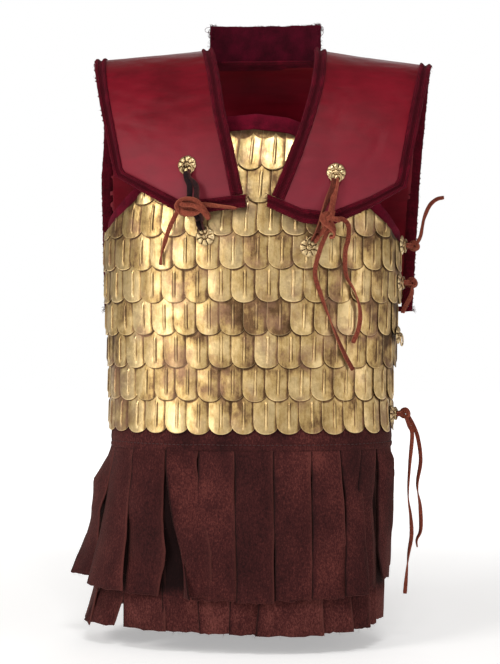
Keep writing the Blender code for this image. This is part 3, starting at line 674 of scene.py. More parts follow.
def make_camera():
    data = bpy.data.cameras.new("camera")
    data.lens = CAMERA_LENS
    camera = bpy.data.objects.new("camera", data)
    bpy.context.scene.collection.objects.link(camera)
    across = Vector((math.cos(CAMERA_TURN), math.sin(CAMERA_TURN), 0))
    ahead = Vector((-math.sin(CAMERA_TURN), math.cos(CAMERA_TURN), 0))
    camera.location = across * CAMERA_ASIDE - ahead * CAMERA_DISTANCE
    camera.location.z = CAMERA_HEIGHT
    camera.rotation_euler = (math.pi / 2, 0, CAMERA_TURN)
    bpy.context.scene.camera = camera


# Area lights: place, width, height, power and colour
Lamp = namedtuple("Lamp", "place width height power colour")
LAMPS = [
    Lamp((-1.9, -2.0, 0.95), 1.0, 1.0, 36, (1.0, 0.985, 0.96)),
    Lamp((-1.55, -2.35, -0.40), 0.65, 1.4, 15, (1.0, 0.98, 0.94)),
    Lamp((0.35, -2.3, 1.95), 0.9, 0.6, 38, (1.0, 0.99, 0.98)),
    Lamp((2.4, -1.4, 0.15), 0.8, 1.6, 8, (1.0, 0.97, 0.94)),
    Lamp((0.1, 2.4, 1.6), 1.8, 1.2, 14, (1.0, 1.0, 1.0)),
]
AIM = Vector((0, 0, -0.38))
# What the camera sees behind the floor, and the soft light from all round
BACKDROP = (1, 1, 1, 1)
AMBIENT_COLOUR = (1, 0.97, 0.94, 1)
AMBIENT_STRENGTH = 0.27
# The floor: half its side, where its glow starts and ends, and how strong it is at each
FLOOR_SIZE = 9
GLOW_START, GLOW_END = 0.9, 2.6
GLOW_NEAR, GLOW_FAR = 0.38, 1.0
FLOOR_COLOUR = (0.82, 0.82, 0.82, 1)


def make_lights():
    for number, lamp in enumerate(LAMPS):
        data = bpy.data.lights.new("lamp_%d" % number, "AREA")
        data.shape = "RECTANGLE"
        data.size = lamp.width
        data.size_y = lamp.height
        data.energy = lamp.power
        data.color = lamp.colour
        light = bpy.data.objects.new("lamp_%d" % number, data)
        light.location = lamp.place
        light.rotation_euler = (AIM - light.location).to_track_quat("-Z", "Y").to_euler()
        bpy.context.scene.collection.objects.link(light)
    world = bpy.data.worlds.new("studio")
    bpy.context.scene.world = world
    world.use_nodes = True
    tree = world.node_tree
    tree.nodes.clear()
    out = tree.nodes.new("ShaderNodeOutputWorld")
    mix = tree.nodes.new("ShaderNodeMixShader")
    path = tree.nodes.new("ShaderNodeLightPath")
    seen = tree.nodes.new("ShaderNodeBackground")
    seen.inputs["Color"].default_value = BACKDROP
    lit = tree.nodes.new("ShaderNodeBackground")
    lit.inputs["Color"].default_value = AMBIENT_COLOUR
    lit.inputs["Strength"].default_value = AMBIENT_STRENGTH
    tree.links.new(path.outputs["Is Camera Ray"], mix.inputs[0])
    tree.links.new(lit.outputs[0], mix.inputs[1])
    tree.links.new(seen.outputs[0], mix.inputs[2])
    tree.links.new(mix.outputs[0], out.inputs[0])
    bpy.context.scene.view_settings.view_transform = "Standard"


def make_floor():
    data = bpy.data.meshes.new("floor")
    size = FLOOR_SIZE
    corners = [(-size, -size), (size, -size), (size, size), (-size, size)]
    data.from_pydata([(x, y, FLOOR_HEIGHT) for x, y in corners], [], [(0, 1, 2, 3)])
    floor = bpy.data.objects.new("floor", data)
    data.materials.append(floor_look())
    bpy.context.scene.collection.objects.link(floor)


def floor_look():
    """A pale floor that runs out into the white of the studio."""
    look = Surface("studio_floor", 0.9)
    flat = look.add("VectorMath", Vector=look.at())
    flat.operation = "LENGTH"
    glow = look.levels(flat.outputs["Value"], GLOW_START, GLOW_END, GLOW_NEAR, GLOW_FAR)
    look.tree.links.new(glow, look.shader.inputs["Emission Strength"])
    return look.finish(Base_Color=FLOOR_COLOUR, Emission_Color=BACKDROP, Specular_IOR_Level=0)


class Surface:
    """A material under construction: its node tree and its shader."""

    def __init__(self, name, roughness, metallic=0.0):
        self.made = bpy.data.materials.new(name)
        self.made.use_nodes = True
        self.tree = self.made.node_tree
        self.shader = self.tree.nodes["Principled BSDF"]
        self.shader.inputs["Roughness"].default_value = roughness
        self.shader.inputs["Metallic"].default_value = metallic

    def add(self, kind, **inputs):
        """A node with its inputs set to numbers or linked to other nodes' outputs."""
        node = self.tree.nodes.new("ShaderNode" + kind)
        for name, value in inputs.items():
            self.put(node.inputs[name.replace("_", " ")], value)
        return node

    def put(self, socket, value):
        if isinstance(value, bpy.types.NodeSocket):
            self.tree.links.new(value, socket)
        else:
            socket.default_value = value

    def at(self, stretch=(1, 1, 1), source="Object"):
        """Coordinates of a point of the piece, stretched along each axis."""
        coordinates = self.add("TexCoord")
        scaled = self.add("Mapping", Vector=coordinates.outputs[source])
        scaled.inputs["Scale"].default_value = stretch
        return scaled.outputs["Vector"]

    def grain(self, scale, detail=3.0, stretch=(1, 1, 1), rough=0.55):
        """Noise from 0 to 1; a larger scale is finer."""
        made = self.add(
            "TexNoise",
            Vector=self.at(stretch),
            Scale=scale,
            Detail=detail,
            Roughness=rough,
        )
        return made.outputs["Fac"]

    def value(self, name):
        """A number that each point of the piece carries."""
        made = self.add("Attribute")
        made.attribute_name = name
        return made.outputs["Fac"]

    def ramp(self, source, stops):
        """A colour ramp with a stop for each (position, colour)."""
        made = self.add("ValToRGB", Fac=source)
        ramp = made.color_ramp
        while len(ramp.elements) < len(stops):
            ramp.elements.new(0.5)
        for element, (position, colour) in zip(ramp.elements, stops):
            element.position = position
            element.color = (*colour, 1) if len(colour) == 3 else colour
        return made.outputs["Color"]

    def levels(self, source, low, high, least=0.0, most=1.0):
        """A number that runs from least to most while the source runs from low to high."""
        made = self.add("MapRange", Value=source)
        made.inputs["From Min"].default_value = low
        made.inputs["From Max"].default_value = high
        made.inputs["To Min"].default_value = least
        made.inputs["To Max"].default_value = most
        return made.outputs["Result"]

    def sum(self, first, second, operation="ADD"):
        """Two numbers added, or joined by another operation."""
        made = self.add("Math")
        made.operation = operation
        self.put(made.inputs[0], first)
        self.put(made.inputs[1], second)
        return made.outputs["Value"]

    def mix(self, part, first, second):
        """The first colour where part is 0 and the second where it is 1."""
        made = self.add("Mix")
        made.data_type = "RGBA"
        self.put(made.inputs[0], part)
        self.put(made.inputs[6], (*first, 1) if isinstance(first, tuple) else first)
        self.put(made.inputs[7], (*second, 1) if isinstance(second, tuple) else second)
        return made.outputs[2]

    def bump(self, height, distance, strength=1.0, under=None):
        """A rough surface, laid over another where under is given."""
        made = self.add("Bump", Height=height)
        made.inputs["Strength"].default_value = strength
        made.inputs["Distance"].default_value = distance
        if under:
            self.tree.links.new(under, made.inputs["Normal"])
        return made.outputs["Normal"]

    def finish(self, colour=None, roughness=None, normal=None, **numbers):
        """Links what is given to the shader, sets its numbers and returns the material."""
        if colour is not None:
            self.tree.links.new(colour, self.shader.inputs["Base Color"])
        if roughness is not None:
            self.tree.links.new(roughness, self.shader.inputs["Roughness"])
        if normal is not None:
            self.tree.links.new(normal, self.shader.inputs["Normal"])
        for name, number in numbers.items():
            self.shader.inputs[name.replace("_", " ")].default_value = number
        return self.made


def row_above_shadow(look):
    """How near a point of a scale is to the edge of the row above, from 0 to 1 at the edge: a painted shadow
    under that edge.
    """
    parts = look.add("SeparateXYZ", Vector=look.at((1, 1, 1), "UV"))
    place = look.sum(look.sum(parts.outputs["X"], 0.5), 1.0, "FLOORED_MODULO")
    aside = look.sum(look.sum(look.sum(place, 0.5, "SUBTRACT"), 0.0, "ABSOLUTE"), SCALE_REACH, "DIVIDE")
    bend = look.sum(look.sum(1.0, look.sum(aside, TIP_CURVE, "POWER"), "SUBTRACT"), 1 / TIP_CURVE, "POWER")
    edge = look.sum(look.sum(look.sum(1.0, bend, "SUBTRACT"), TIP_DEPTH, "MULTIPLY"), ROW_PITCH)
    below = look.sum(edge, parts.outputs["Y"], "SUBTRACT")
    near = look.levels(below, SHADE_DEPTH, 0.0004)
    return look.sum(look.sum(near, near, "MULTIPLY"), 1.0, "MINIMUM")


def brass_look(name, lightest, middle, tarnish, rows=False):
    """Old brass: pale where it is rubbed and brown in patches, with painted shade from the shade value and,
    when rows is set, a painted shadow under the row above.
    """
    look = Surface(name, 0.45, 1.0)
    cloud = look.grain(38, 6, (1.0, 1.0, 0.7), 0.68)
    streak = look.grain(330, 3, (1.0, 1.0, 0.12), 0.6)
    speck = look.grain(620, 3)
    shade = look.value("shade")
    rim = look.value("rim")
    if rows:
        # Painted shadow under the edge of the row above
        shade = look.sum(shade, look.sum(row_above_shadow(look), 0.95, "MULTIPLY"), "SUBTRACT")
    worn = look.sum(look.levels(cloud, 0.3, 0.7, 0.36, 0.74), look.levels(shade, 0, 1, -0.30, 0.18))
    worn = look.sum(worn, look.levels(streak, 0.3, 0.7, -0.035, 0.035))
    smudge = look.grain(24, 5, (1, 1, 1), 0.66)
    colour = look.ramp(
        worn,
        [
            (0.20, tuple(part * 0.45 for part in tarnish)),
            (0.34, tarnish),
            (0.46, middle),
            (0.64, lightest),
        ],
    )
    colour = look.mix(look.levels(smudge, 0.50, 0.64, 0.0, 0.62), colour, (0.30, 0.165, 0.105))
    # Pale where the rim value is high: rubbed edges, and a painted highlight along the scales' ribs
    colour = look.mix(look.levels(rim, 0.2, 1.0, 0.0, 0.30), colour, (0.86, 0.68, 0.36))
    dirt = look.levels(speck, 0.66, 0.74)
    colour = look.mix(look.sum(dirt, 0.5, "MULTIPLY"), colour, (0.16, 0.09, 0.05))
    rough = look.levels(worn, 0.25, 0.7, 0.54, 0.33)
    fine = look.bump(look.grain(420, 3, (1, 1, 0.3)), 0.00016, 0.8)
    dents = look.bump(look.grain(75, 3), 0.0012, 0.7, under=fine)
    return look.finish(colour, rough, dents)


def felt_look(name, dark, light):
    """Wool: short matted hairs, with a pale sheen at grazing angles."""
    look = Surface(name, 0.95)
    cloud = look.grain(45, 3)
    hair = look.grain(1500, 2, (1, 1, 1), 0.7)
    colour = look.ramp(
        look.sum(cloud, look.levels(hair, 0.3, 0.7, -0.16, 0.16)),
        [(0.30, dark), (0.70, light)],
    )
    knap = look.bump(hair, 0.0006, 0.8)
    soft = look.bump(look.grain(260, 3), 0.0012, 0.6, under=knap)
    return look.finish(
        colour,
        None,
        soft,
        Sheen_Weight=0.14,
        Sheen_Roughness=0.45,
        Sheen_Tint=(0.90, 0.12, 0.22, 1),
        Specular_IOR_Level=0.08,
    )


# Scale of the wave that draws the threads of a woven tape
THREAD_BANDS = 1050 / 6.283


def woven_look(name, dark, light):
    """A woven woollen tape: rows of weft bumps along it, darker between its threads."""
    look = Surface(name, 0.9)
    weft = look.add("TexWave", Vector=look.at((1, 1, 1), "UV"), Scale=THREAD_BANDS)
    weft.wave_type = "BANDS"
    weft.bands_direction = "X"
    weft.inputs["Distortion"].default_value = 1.6
    weft.inputs["Detail"].default_value = 2.0
    warp = look.add("TexWave", Vector=look.at((1, 1, 1), "UV"), Scale=THREAD_BANDS)
    warp.bands_direction = "Y"
    warp.inputs["Distortion"].default_value = 1.6
    hair = look.grain(1300, 3, (1, 1, 1), 0.7)
    thread = look.sum(weft.outputs["Fac"], warp.outputs["Fac"], "MULTIPLY")
    thread = look.sum(thread, look.levels(hair, 0.3, 0.7, -0.25, 0.25))
    # The shade value carries the binding's painted light and shade
    thread = look.sum(thread, look.levels(look.value("shade"), 0, 1, -0.4, 0.4))
    cloud = look.grain(60, 3)
    colour = look.ramp(look.sum(thread, look.levels(cloud, 0.3, 0.7, -0.2, 0.2)), [(0.0, dark), (0.9, light)])
    weave = look.bump(thread, 0.0009, 0.9)
    return look.finish(
        colour,
        None,
        weave,
        Sheen_Weight=0.12,
        Sheen_Roughness=0.5,
        Sheen_Tint=(0.9, 0.12, 0.2, 1),
        Specular_IOR_Level=0.08,
    )


def suede_look(name, dark, middle, light, edge):
    """Brushed suede: a short nap with lighter rubbed places and pale cut edges, going near black as painted
    shade where the shade value is low.
    """
    look = Surface(name, 0.92)
    cloud = look.grain(19, 4, (1, 1, 0.6), 0.6)
    nap = look.grain(520, 3, (1, 1, 0.55), 0.7)
    fine = look.grain(1700, 2, (1, 1, 1), 0.7)
    shade = look.value("shade")
    rim = look.value("rim")
    tone = look.sum(look.levels(cloud, 0.3, 0.7, 0.39, 0.59), look.levels(nap, 0.3, 0.7, -0.14, 0.14))
    tone = look.sum(tone, look.levels(fine, 0.3, 0.7, -0.11, 0.11))
    tone = look.sum(tone, look.levels(shade, 0, 1, -0.2, 0.2))
    colour = look.ramp(tone, [(0.28, dark), (0.5, middle), (0.74, light)])
    # Towards the edge colour where the rim value is high: pale cut edges, and on the skirt strips a painted
    # highlight along one edge
    colour = look.mix(look.sum(rim, 0.6, "MULTIPLY"), colour, edge)
    # Painted shade: near black where the shade value is low, as on the lower layer under the upper one
    deep_shade = look.levels(shade, 0.26, 0.02, 0.0, 0.88)
    colour = look.mix(deep_shade, colour, tuple(part * 0.2 for part in dark))
    knap = look.bump(fine, 0.0005, 0.8)
    soft = look.bump(nap, 0.0008, 0.7, under=knap)
    return look.finish(
        colour,
        None,
        soft,
        Sheen_Weight=0.10,
        Sheen_Roughness=0.4,
        Sheen_Tint=(0.85, 0.36, 0.28, 1),
        Specular_IOR_Level=0.12,
    )


def leather_look(name):
    """Smooth dyed leather: deep crimson, with fine creases and a low gloss, a painted brown reflection near
    the ridge and a painted pink sheen low on the front.
    """
    look = Surface(name, 0.40)
    cloud = look.grain(14, 4, (1, 1, 1), 0.55)
    pore = look.add("TexVoronoi", Vector=look.at(), Scale=900)
    crease = look.grain(36, 5, (0.5, 2.4, 2.4), 0.62)
    fine = look.grain(700, 3)
    tone = look.sum(cloud, look.levels(crease, 0.3, 0.7, -0.10, 0.10))
    colour = look.ramp(
        tone,
        [(0.30, (0.094, 0.0005, 0.0050)), (0.52, (0.134, 0.0008, 0.0074)), (0.75, (0.170, 0.0015, 0.010))],
    )
    ridge = look.add("SeparateXYZ", Vector=look.at())
    # Painted reflection: browner towards the top of the shoulder ridge
    tan = look.levels(ridge.outputs["Z"], -0.030, 0.010, 0.0, 0.6)
    colour = look.mix(tan, colour, (0.105, 0.008, 0.006))
    # Painted sheen: pinker on the lower part of the front flaps
    front = look.levels(ridge.outputs["Y"], 0.0, -0.05, 0.0, 1.0)
    front_sheen = look.sum(look.levels(ridge.outputs["Z"], -0.105, -0.210, 0.0, 0.32), front, "MULTIPLY")
    colour = look.mix(front_sheen, colour, (0.250, 0.052, 0.072))
    rough = look.levels(look.sum(cloud, look.levels(fine, 0.3, 0.7, -0.1, 0.1)), 0.3, 0.7, 0.42, 0.54)
    pores = look.bump(pore.outputs["Distance"], 0.00022, 0.35)
    lines = look.bump(crease, 0.0011, 0.28, under=pores)
    return look.finish(
        colour,
        rough,
        lines,
        Specular_IOR_Level=0.16,
    )


def plain_look(name, colour, roughness):
    """One colour, a little lighter and darker from place to place."""
    look = Surface(name, roughness)
    tone = look.grain(120, 3)
    lighter = tuple(min(part * 1.35, 1) for part in colour)
    darker = tuple(part * 0.7 for part in colour)
    hue = look.ramp(tone, [(0.3, darker), (0.7, lighter)])
    return look.finish(hue, None, look.bump(look.grain(800, 2), 0.0003, 0.5))


class Form:
    """Points and faces of one piece, with the numbers that its material reads at each point."""

    def __init__(self):
        self.points = []
        self.faces = []
        self.shade = []
        self.rim = []
        self.flat = []

    def point(self, spot, shade=0.5, rim=0.0, flat=(0.0, 0.0)):
        self.points.append(spot)
        self.shade.append(shade)
        self.rim.append(rim)
        self.flat.append(flat)
        return len(self.points) - 1

    def grid(self, rows, shade=0.5, rim=None, flat=None, turned=False, around=False):
        """Faces through rows of points. around joins each row's last point to its first."""
        made = []
        for r, row in enumerate(rows):
            made.append([])
            for c, spot in enumerate(row):
                edge = rim[r][c] if rim else 0.0
                cut = flat[r][c] if flat else (0.0, 0.0)
                made[-1].append(self.point(spot, shade, edge, cut))
        wide = len(rows[0])
        for r in range(len(rows) - 1):
            for c in range(wide if around else wide - 1):
                d = (c + 1) % wide
                face = (made[r][c], made[r][d], made[r + 1][d], made[r + 1][c])
                self.faces.append(face[::-1] if turned else face)
        return made

    def cap(self, ring, turned=False):
        self.faces.append(tuple(ring[::-1] if turned else ring))

    def shell(self, rows, thickness, shade=0.5, rim=None, flat=None, bulge=0.3, wanted=None):
        """A sheet of one thickness with rounded edges, through the rows' cells that are wanted."""
        normals = grid_normals(rows)
        half = thickness / 2
        above, below, corners = {}, {}, {}

        def vertex(made, r, c, side):
            if (r, c) not in made:
                edge = rim[r][c] if rim else 0.0
                cut = flat[r][c] if flat else (0.0, 0.0)
                tone = shade[r][c] if isinstance(shade, list) else shade
                spot = rows[r][c] + normals[r][c] * half * side
                made[r, c] = self.point(spot, tone, edge, cut)
            return made[r, c]

        borders = {}
        for r in range(len(rows) - 1):
            for c in range(len(rows[r]) - 1):
                ring = [(r, c), (r, c + 1), (r + 1, c + 1), (r + 1, c)]
                if any(rows[i][j] is None for i, j in ring) or (wanted and not wanted(r, c)):
                    continue
                self.faces.append(tuple(vertex(above, i, j, 1) for i, j in ring))
                self.faces.append(tuple(vertex(below, i, j, -1) for i, j in reversed(ring)))
                for start, end in zip(ring, ring[1:] + ring[:1]):
                    if (end, start) in borders:
                        del borders[end, start]
                    else:
                        borders[start, end] = True
        outward = {}
        for start, end in borders:
            (r, c), (i, j) = start, end
            way = (rows[i][j] - rows[r][c]).cross(normals[r][c]).normalized()
            for key in (start, end):
                outward[key] = outward.get(key, Vector()) + way
        for (r, c), way in outward.items():
            cut = flat[r][c] if flat else (0.0, 0.0)
            tone = shade[r][c] if isinstance(shade, list) else shade
            spot = rows[r][c] + way.normalized() * thickness * bulge
            corners[r, c] = self.point(spot, tone, 1.0, cut)
        for start, end in borders:
            self.faces.append((above[end], above[start], corners[start], corners[end]))
            self.faces.append((corners[end], corners[start], below[start], below[end]))

    def ribbon(self, route, width, thickness, turn=None, shade=0.5, start_face=None, rough=0.0, seed=0):
        """A flat lace along a route; turn gives its twist at a part of the way."""
        dice = random.Random(seed)
        along = [
            (route[min(i + 1, len(route) - 1)] - route[max(i - 1, 0)]).normalized()
            for i in range(len(route))
        ]
        face = (start_face or Vector((0, -1, 0))).copy()
        face = (face - along[0] * face.dot(along[0])).normalized()
        profile = [
            (-0.5, -0.30), (-0.42, -0.5), (0.0, -0.54), (0.42, -0.5), (0.5, -0.30),
            (0.5, 0.30), (0.42, 0.5), (0.0, 0.54), (-0.42, 0.5), (-0.5, 0.30),
        ]
        rows, cuts, rims = [], [], []
        run = 0.0
        for index, (spot, way) in enumerate(zip(route, along)):
            face = (face - way * face.dot(way)).normalized()
            side = way.cross(face)
            angle = turn(index / (len(route) - 1)) if turn else 0.0
            out = face * math.cos(angle) + side * math.sin(angle)
            across = side * math.cos(angle) - face * math.sin(angle)
            if index:
                run += (spot - route[index - 1]).length
            swell = 1 + rough * dice.uniform(-1, 1)
            end = min(index, len(route) - 1 - index)
            slim = 0.86 if end == 0 else 1.0
            rows.append(
                [
                    spot + across * (u * width * swell * slim) + out * (v * thickness * slim)
                    for u, v in profile
                ]
            )
            cuts.append([(run, u * width) for u, v in profile])
            rims.append([1.0 if abs(u) > 0.45 else 0.0 for u, v in profile])
        made = self.grid(rows, shade, rims, cuts, around=True)
        self.cap(made[0], turned=True)
        self.cap(made[-1])

    def tube(self, route, radius, sides=6, shade=0.5, radii=None, rim=0.0):
        """A round thread or wire along a route, closed at its ends."""
        along = [
            (route[min(i + 1, len(route) - 1)] - route[max(i - 1, 0)]).normalized()
            for i in range(len(route))
        ]
        face = along[0].orthogonal().normalized()
        rows = []
        for index, (spot, way) in enumerate(zip(route, along)):
            face = (face - way * face.dot(way)).normalized()
            side = way.cross(face)
            size = radius * (radii[index] if radii else 1)
            rows.append(
                [
                    spot + (face * math.cos(a) + side * math.sin(a)) * size
                    for a in (2 * math.pi * k / sides for k in range(sides))
                ]
            )
        rims = [[rim] * sides for _ in rows]
        made = self.grid(rows, shade, rims, around=True)
        self.cap(made[0], turned=True)
        self.cap(made[-1])

    def ring(self, matrix, radius, wire, steps=40, sides=10, shade=0.5):
        rows = []
        for step in range(steps):
            turn = 2 * math.pi * step / steps
            middle = Vector((math.cos(turn), math.sin(turn), 0))
            rows.append(
                [
                    matrix @ (middle * (radius + wire * math.cos(a)) + Vector((0, 0, wire * math.sin(a))))
                    for a in (2 * math.pi * k / sides for k in range(sides))
                ]
            )
        rims = [[0.6 if k in (0, 1, sides - 1) else 0.1 for k in range(sides)] for _ in rows]
        made = self.grid(rows, shade, rims, around=True, turned=True)
        for c in range(sides):
            d = (c + 1) % sides
            self.faces.append((made[-1][c], made[0][c], made[0][d], made[-1][d]))

    def place(self, name, look, nodes=(), body="armour", smooth=None):
        data = bpy.data.meshes.new(name)
        data.from_pydata(self.points, [], self.faces)
        data.materials.append(look)
        for key, values in (("shade", self.shade), ("rim", self.rim)):
            data.attributes.new(key, "FLOAT", "POINT").data.foreach_set("value", values)
        layer = data.uv_layers.new(name="cut")
        corners = [0] * len(data.loops)
        data.loops.foreach_get("vertex_index", corners)
        layer.data.foreach_set("uv", [part for index in corners for part in self.flat[index]])
        data.shade_smooth()
        if smooth:
            data.set_sharp_from_angle(angle=math.radians(smooth))
        obj = bpy.data.objects.new(name, data)
        bpy.context.scene.collection.objects.link(obj)
        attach(obj, body)
        if nodes:
            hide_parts(*nodes)
        return obj


def grid_normals(rows):
    """A normal at each point of a grid, which may have gaps."""
    tall, wide = len(rows), len(rows[0])

    def near(r, c, down, right):
        i, j = r + down, c + right
        if 0 <= i < tall and 0 <= j < wide and rows[i][j] is not None:
            return rows[i][j]
        return rows[r][c]

    made = []
    for r in range(tall):
        made.append([])
        for c in range(wide):
            if rows[r][c] is None:
                made[-1].append(None)
                continue
            across = near(r, c, 0, 1) - near(r, c, 0, -1)
            upward = near(r, c, 1, 0) - near(r, c, -1, 0)
            made[-1].append(across.cross(upward).normalized())
    return made


def hair(form, spot, way, length, dice, radius=0.00013, shade=0.8):
    """A loose fibre that curls away from a cut edge."""
    side = way.orthogonal().normalized()
    side.rotate(Matrix.Rotation(dice.uniform(0, 2 * math.pi), 3, way))
    bend = side * dice.uniform(0.2, 0.7) * length
    sag = Vector((0, 0, -dice.uniform(0, 0.35) * length))
    route = [
        spot + way * length * part + bend * part**2 + sag * part**2
        for part in (0, 0.35, 0.7, 1)
    ]
    form.tube(route, radius, 3, shade, (1, 1, 0.8, 0.4))


# Free thong ends: width, and the turns of the twist at the start and end, in half turns
Lace = namedtuple("Lace", "width start_twist end_twist shade")
LACES = {
    "thong_end_a": Lace(0.0060, 0.2, 1.3, 0.45),
    "thong_end_b": Lace(0.0058, -0.3, 0.9, 0.35),
    "thong_end_c": Lace(0.0058, 0.1, -0.8, 0.55),
    "thong_end_d": Lace(0.0060, 0.0, 0.5, 0.60),
    "thong_end_e": Lace(0.0055, 0.3, -0.4, 0.50),
    "thong_end_f": Lace(0.0060, 0.0, 0.2, 0.60),
    "thong_end_g": Lace(0.0055, 0.2, 2.1, 0.50),
    "thong_end_h": Lace(0.0055, -0.2, 1.7, 0.40),
}
LACE_THICKNESS = 0.0019
LACE_STEP = 0.0025


def cords(look):
    routes = {name: [chest_point(row) for row in rows] for name, rows in CHEST_ENDS.items()}
    routes.update({name: [Vector(row) for row in rows] for name, rows in SIDE_ENDS.items()})
    for seed, (name, points) in enumerate(routes.items()):
        lace = LACES[name]
        route = smooth_route(points, LACE_STEP)

        def twist(part, lace=lace):
            wave = 0.25 * math.sin(part * 9 + seed)
            turns = lace.start_twist + (lace.end_twist - lace.start_twist) * part
            return math.pi * turns * part**0.5 + wave

        outward = Vector((0, -1, 0)) if name in CHEST_ENDS else Vector((0.6, -0.8, 0))
        form = Form()
        form.ribbon(
            route, lace.width, LACE_THICKNESS, twist, lace.shade, outward, rough=0.035, seed=seed
        )
        piece = form.place(name + "_lace", look, [name])


# Columns of one scale over its pitch, closer at the rib and at the edges
SCALE_COLUMNS = (
    -0.060, -0.045, 0.00, 0.08, 0.20, 0.32, 0.40, 0.424, 0.438, 0.452, 0.476,
    0.50, 0.524, 0.548, 0.562, 0.576, 0.60, 0.68, 0.80, 0.92, 1.00, 1.045, 1.060,
)
SCALE_ROWS = (
    0, 0.02, 0.06, 0.10, 0.13, 0.16, 0.19, 0.23, 0.32, 0.42, 0.52, 0.60, 0.63, 0.66, 0.70, 0.82, 1,
)
SCALE_SHEET = 0.0010
SCALE_WIDTH = 0.035
# Half a scale's width over its pitch, how far its sides rise above its tip, and the curve's power
SCALE_REACH = 0.56
TIP_DEPTH = 0.0165
TIP_CURVE = 2.25
# How far the painted shadow reaches under the edge of the row above
SHADE_DEPTH = 0.0034
# The pressed rib: height, half its width over the pitch, its ends above the tip, and their slopes
RIB_HEIGHT = 0.0016
RIB_HALF = 0.054
RIB_FOOT = 0.0085
RIB_TOP = 0.0400
RIB_FADE = 0.0060
# How far a scale bows out in its middle, and how far one edge lies over its neighbour
SCALE_BOW = 0.0010
SCALE_LAP = 0.0018
# How far a band reaches below the panel's edge line
BAND_HANG = 0.0025


def ease(low, high, value):
    """A smooth step from 0 to 1 between two values."""
    part = min(max((value - low) / (high - low), 0), 1)
    return part * part * (3 - 2 * part)


def scales(look):
    for number in range(FRONT_ROWS):
        form = Form()
        dice = random.Random(40 + number)
        stagger = 0.5 * (number % 2)
        last = 2 - BARE_EDGE if number < WRAPPED_ROWS else 1 + BARE_EDGE / 3
        for scale in range(-1, 2 * SCALES_PER_HALF + 1):
            one_scale(form, dice, number, scale + stagger, last)
        form.place("scales_%d" % (FRONT_ROWS - number), look, ["scale_row_%d" % (FRONT_ROWS - number)])


def one_scale(form, dice, number, first, last):
    """One brass scale: a U-shaped plate with a pressed rib, lapped over the next one."""
    hem = LOWEST_ROW + number * ROW_PITCH + dice.uniform(-0.0008, 0.0008)
    lean = math.radians(dice.uniform(-1.3, 1.3))
    slide = dice.uniform(-0.010, 0.010)
    lift = dice.uniform(0, 0.0006)
    swing = dice.uniform(-0.0005, 0.0005)
    tone = min(max(dice.gauss(0.55, 0.13), 0.1), 0.9)
    columns = []
    for phase in SCALE_COLUMNS:
        around = (first + phase + slide) / SCALES_PER_HALF
        if not BARE_EDGE <= around <= last:
            continue
        aside = min(abs(phase - 0.5) / SCALE_REACH, 1)
        rise = TIP_DEPTH * (1 - (1 - aside**TIP_CURVE) ** (1 / TIP_CURVE))
        rise += (phase - 0.5) * math.tan(lean) * SCALE_WIDTH
        top = min(hem + SCALE_LENGTH, upper_edge(around) - BAND_WIDTH - BAND_HANG)
        if top - hem - rise < 0.004:
            continue
        columns.append((phase, around, rise, top))
    if len(columns) < 4:
        return
    rows, rims, cuts, tones = [], [], [], []
    for part in SCALE_ROWS:
        row, rim, cut, shades = [], [], [], []
        for phase, around, rise, top in reversed(columns):
            height = hem + rise + (top - hem - rise) * part
            up = height - hem
            middle = max(0, 1 - (abs(phase - 0.5) / RIB_HALF) ** 2.6)
            pressed = ease(RIB_FOOT - RIB_FADE / 2, RIB_FOOT + RIB_FADE / 2, up)
            pressed *= ease(RIB_TOP + RIB_FADE / 3, RIB_TOP - RIB_FADE / 3, up)
            rib = RIB_HEIGHT * middle**0.75 * pressed
            across = (phase - 0.5) * 2
            out = stand_off(up) + rib + lift + swing * across
            out += SCALE_BOW * (1 - across * across) + SCALE_LAP * (phase - 0.5) * (1 - 0.5 * part)
            row.append(skin(around, height, out))
            near = min(height - hem - rise, min(phase + 0.06, 1.06 - phase) * SCALE_WIDTH)
            # Rim value: rubbed wear at the edges, and a painted highlight along the top of the rib
            top_light = 0.5 * middle * ease(0.0, 1.0, rib / RIB_HEIGHT)
            rim.append(max(0.9 * max(0.0, 1 - near / 0.0010), top_light))
            # Painted shade at the feet of the rib, beside the edge that the next scale laps over, and over
            # the upper part under the row above
            rib_foot_shade = math.exp(-(((abs(phase - 0.5) - RIB_HALF) / 0.013) ** 2)) * pressed
            tucked_shade = math.exp(-(((phase - 0.085) / 0.03) ** 2))
            painted_shade = 0.10 * ease(0.026, 0.044, up) + 0.60 * rib_foot_shade + 0.60 * tucked_shade
            # The shade also deepens towards the wearer's left as painted shade
            shades.append(min(max(tone - painted_shade - 0.25 * skin(around, height).x, 0), 1))
            cut.append((phase, up))
        rows.append(row)
        rims.append(rim)
        cuts.append(cut)
        tones.append(shades)
    form.shell(rows, SCALE_SHEET, tones, rims, cuts, bulge=0.25)


def panels(look):
    for side, start, end in (("front", OPENING_EDGE, SIDE_SEAM), ("back", SIDE_SEAM, 2 - OPENING_EDGE)):
        form = Form()
        places = columns_of(start, end, 72)
        rows = []
        for step in range(25):
            row = []
            for around in places:
                height = BODY_BOTTOM + (upper_edge(around) - BAND_WIDTH * 0.8 - BODY_BOTTOM) * step / 24
                wave = noise.noise(Vector((around * 9, height * 22, 3.0))) * 0.0007
                row.append(skin(around, height, wave))
            rows.append(row)
        form.shell(rows, FELT, 0.5)
        piece = form.place(side + "_felt", look, [side + "_panel"])
        wide = outline(-0.33)[0][1][-1]


# A band's profile over its width: how far along it and how high above its own middle
BAND_PROFILE = (
    (0.00, -0.10), (0.02, 0.34), (0.08, 0.50), (0.16, 0.52), (0.27, 0.44), (0.40, 0.40), (0.55, 0.42),
    (0.72, 0.46), (0.86, 0.52), (0.94, 0.48), (0.985, 0.30), (1.00, -0.10),
)


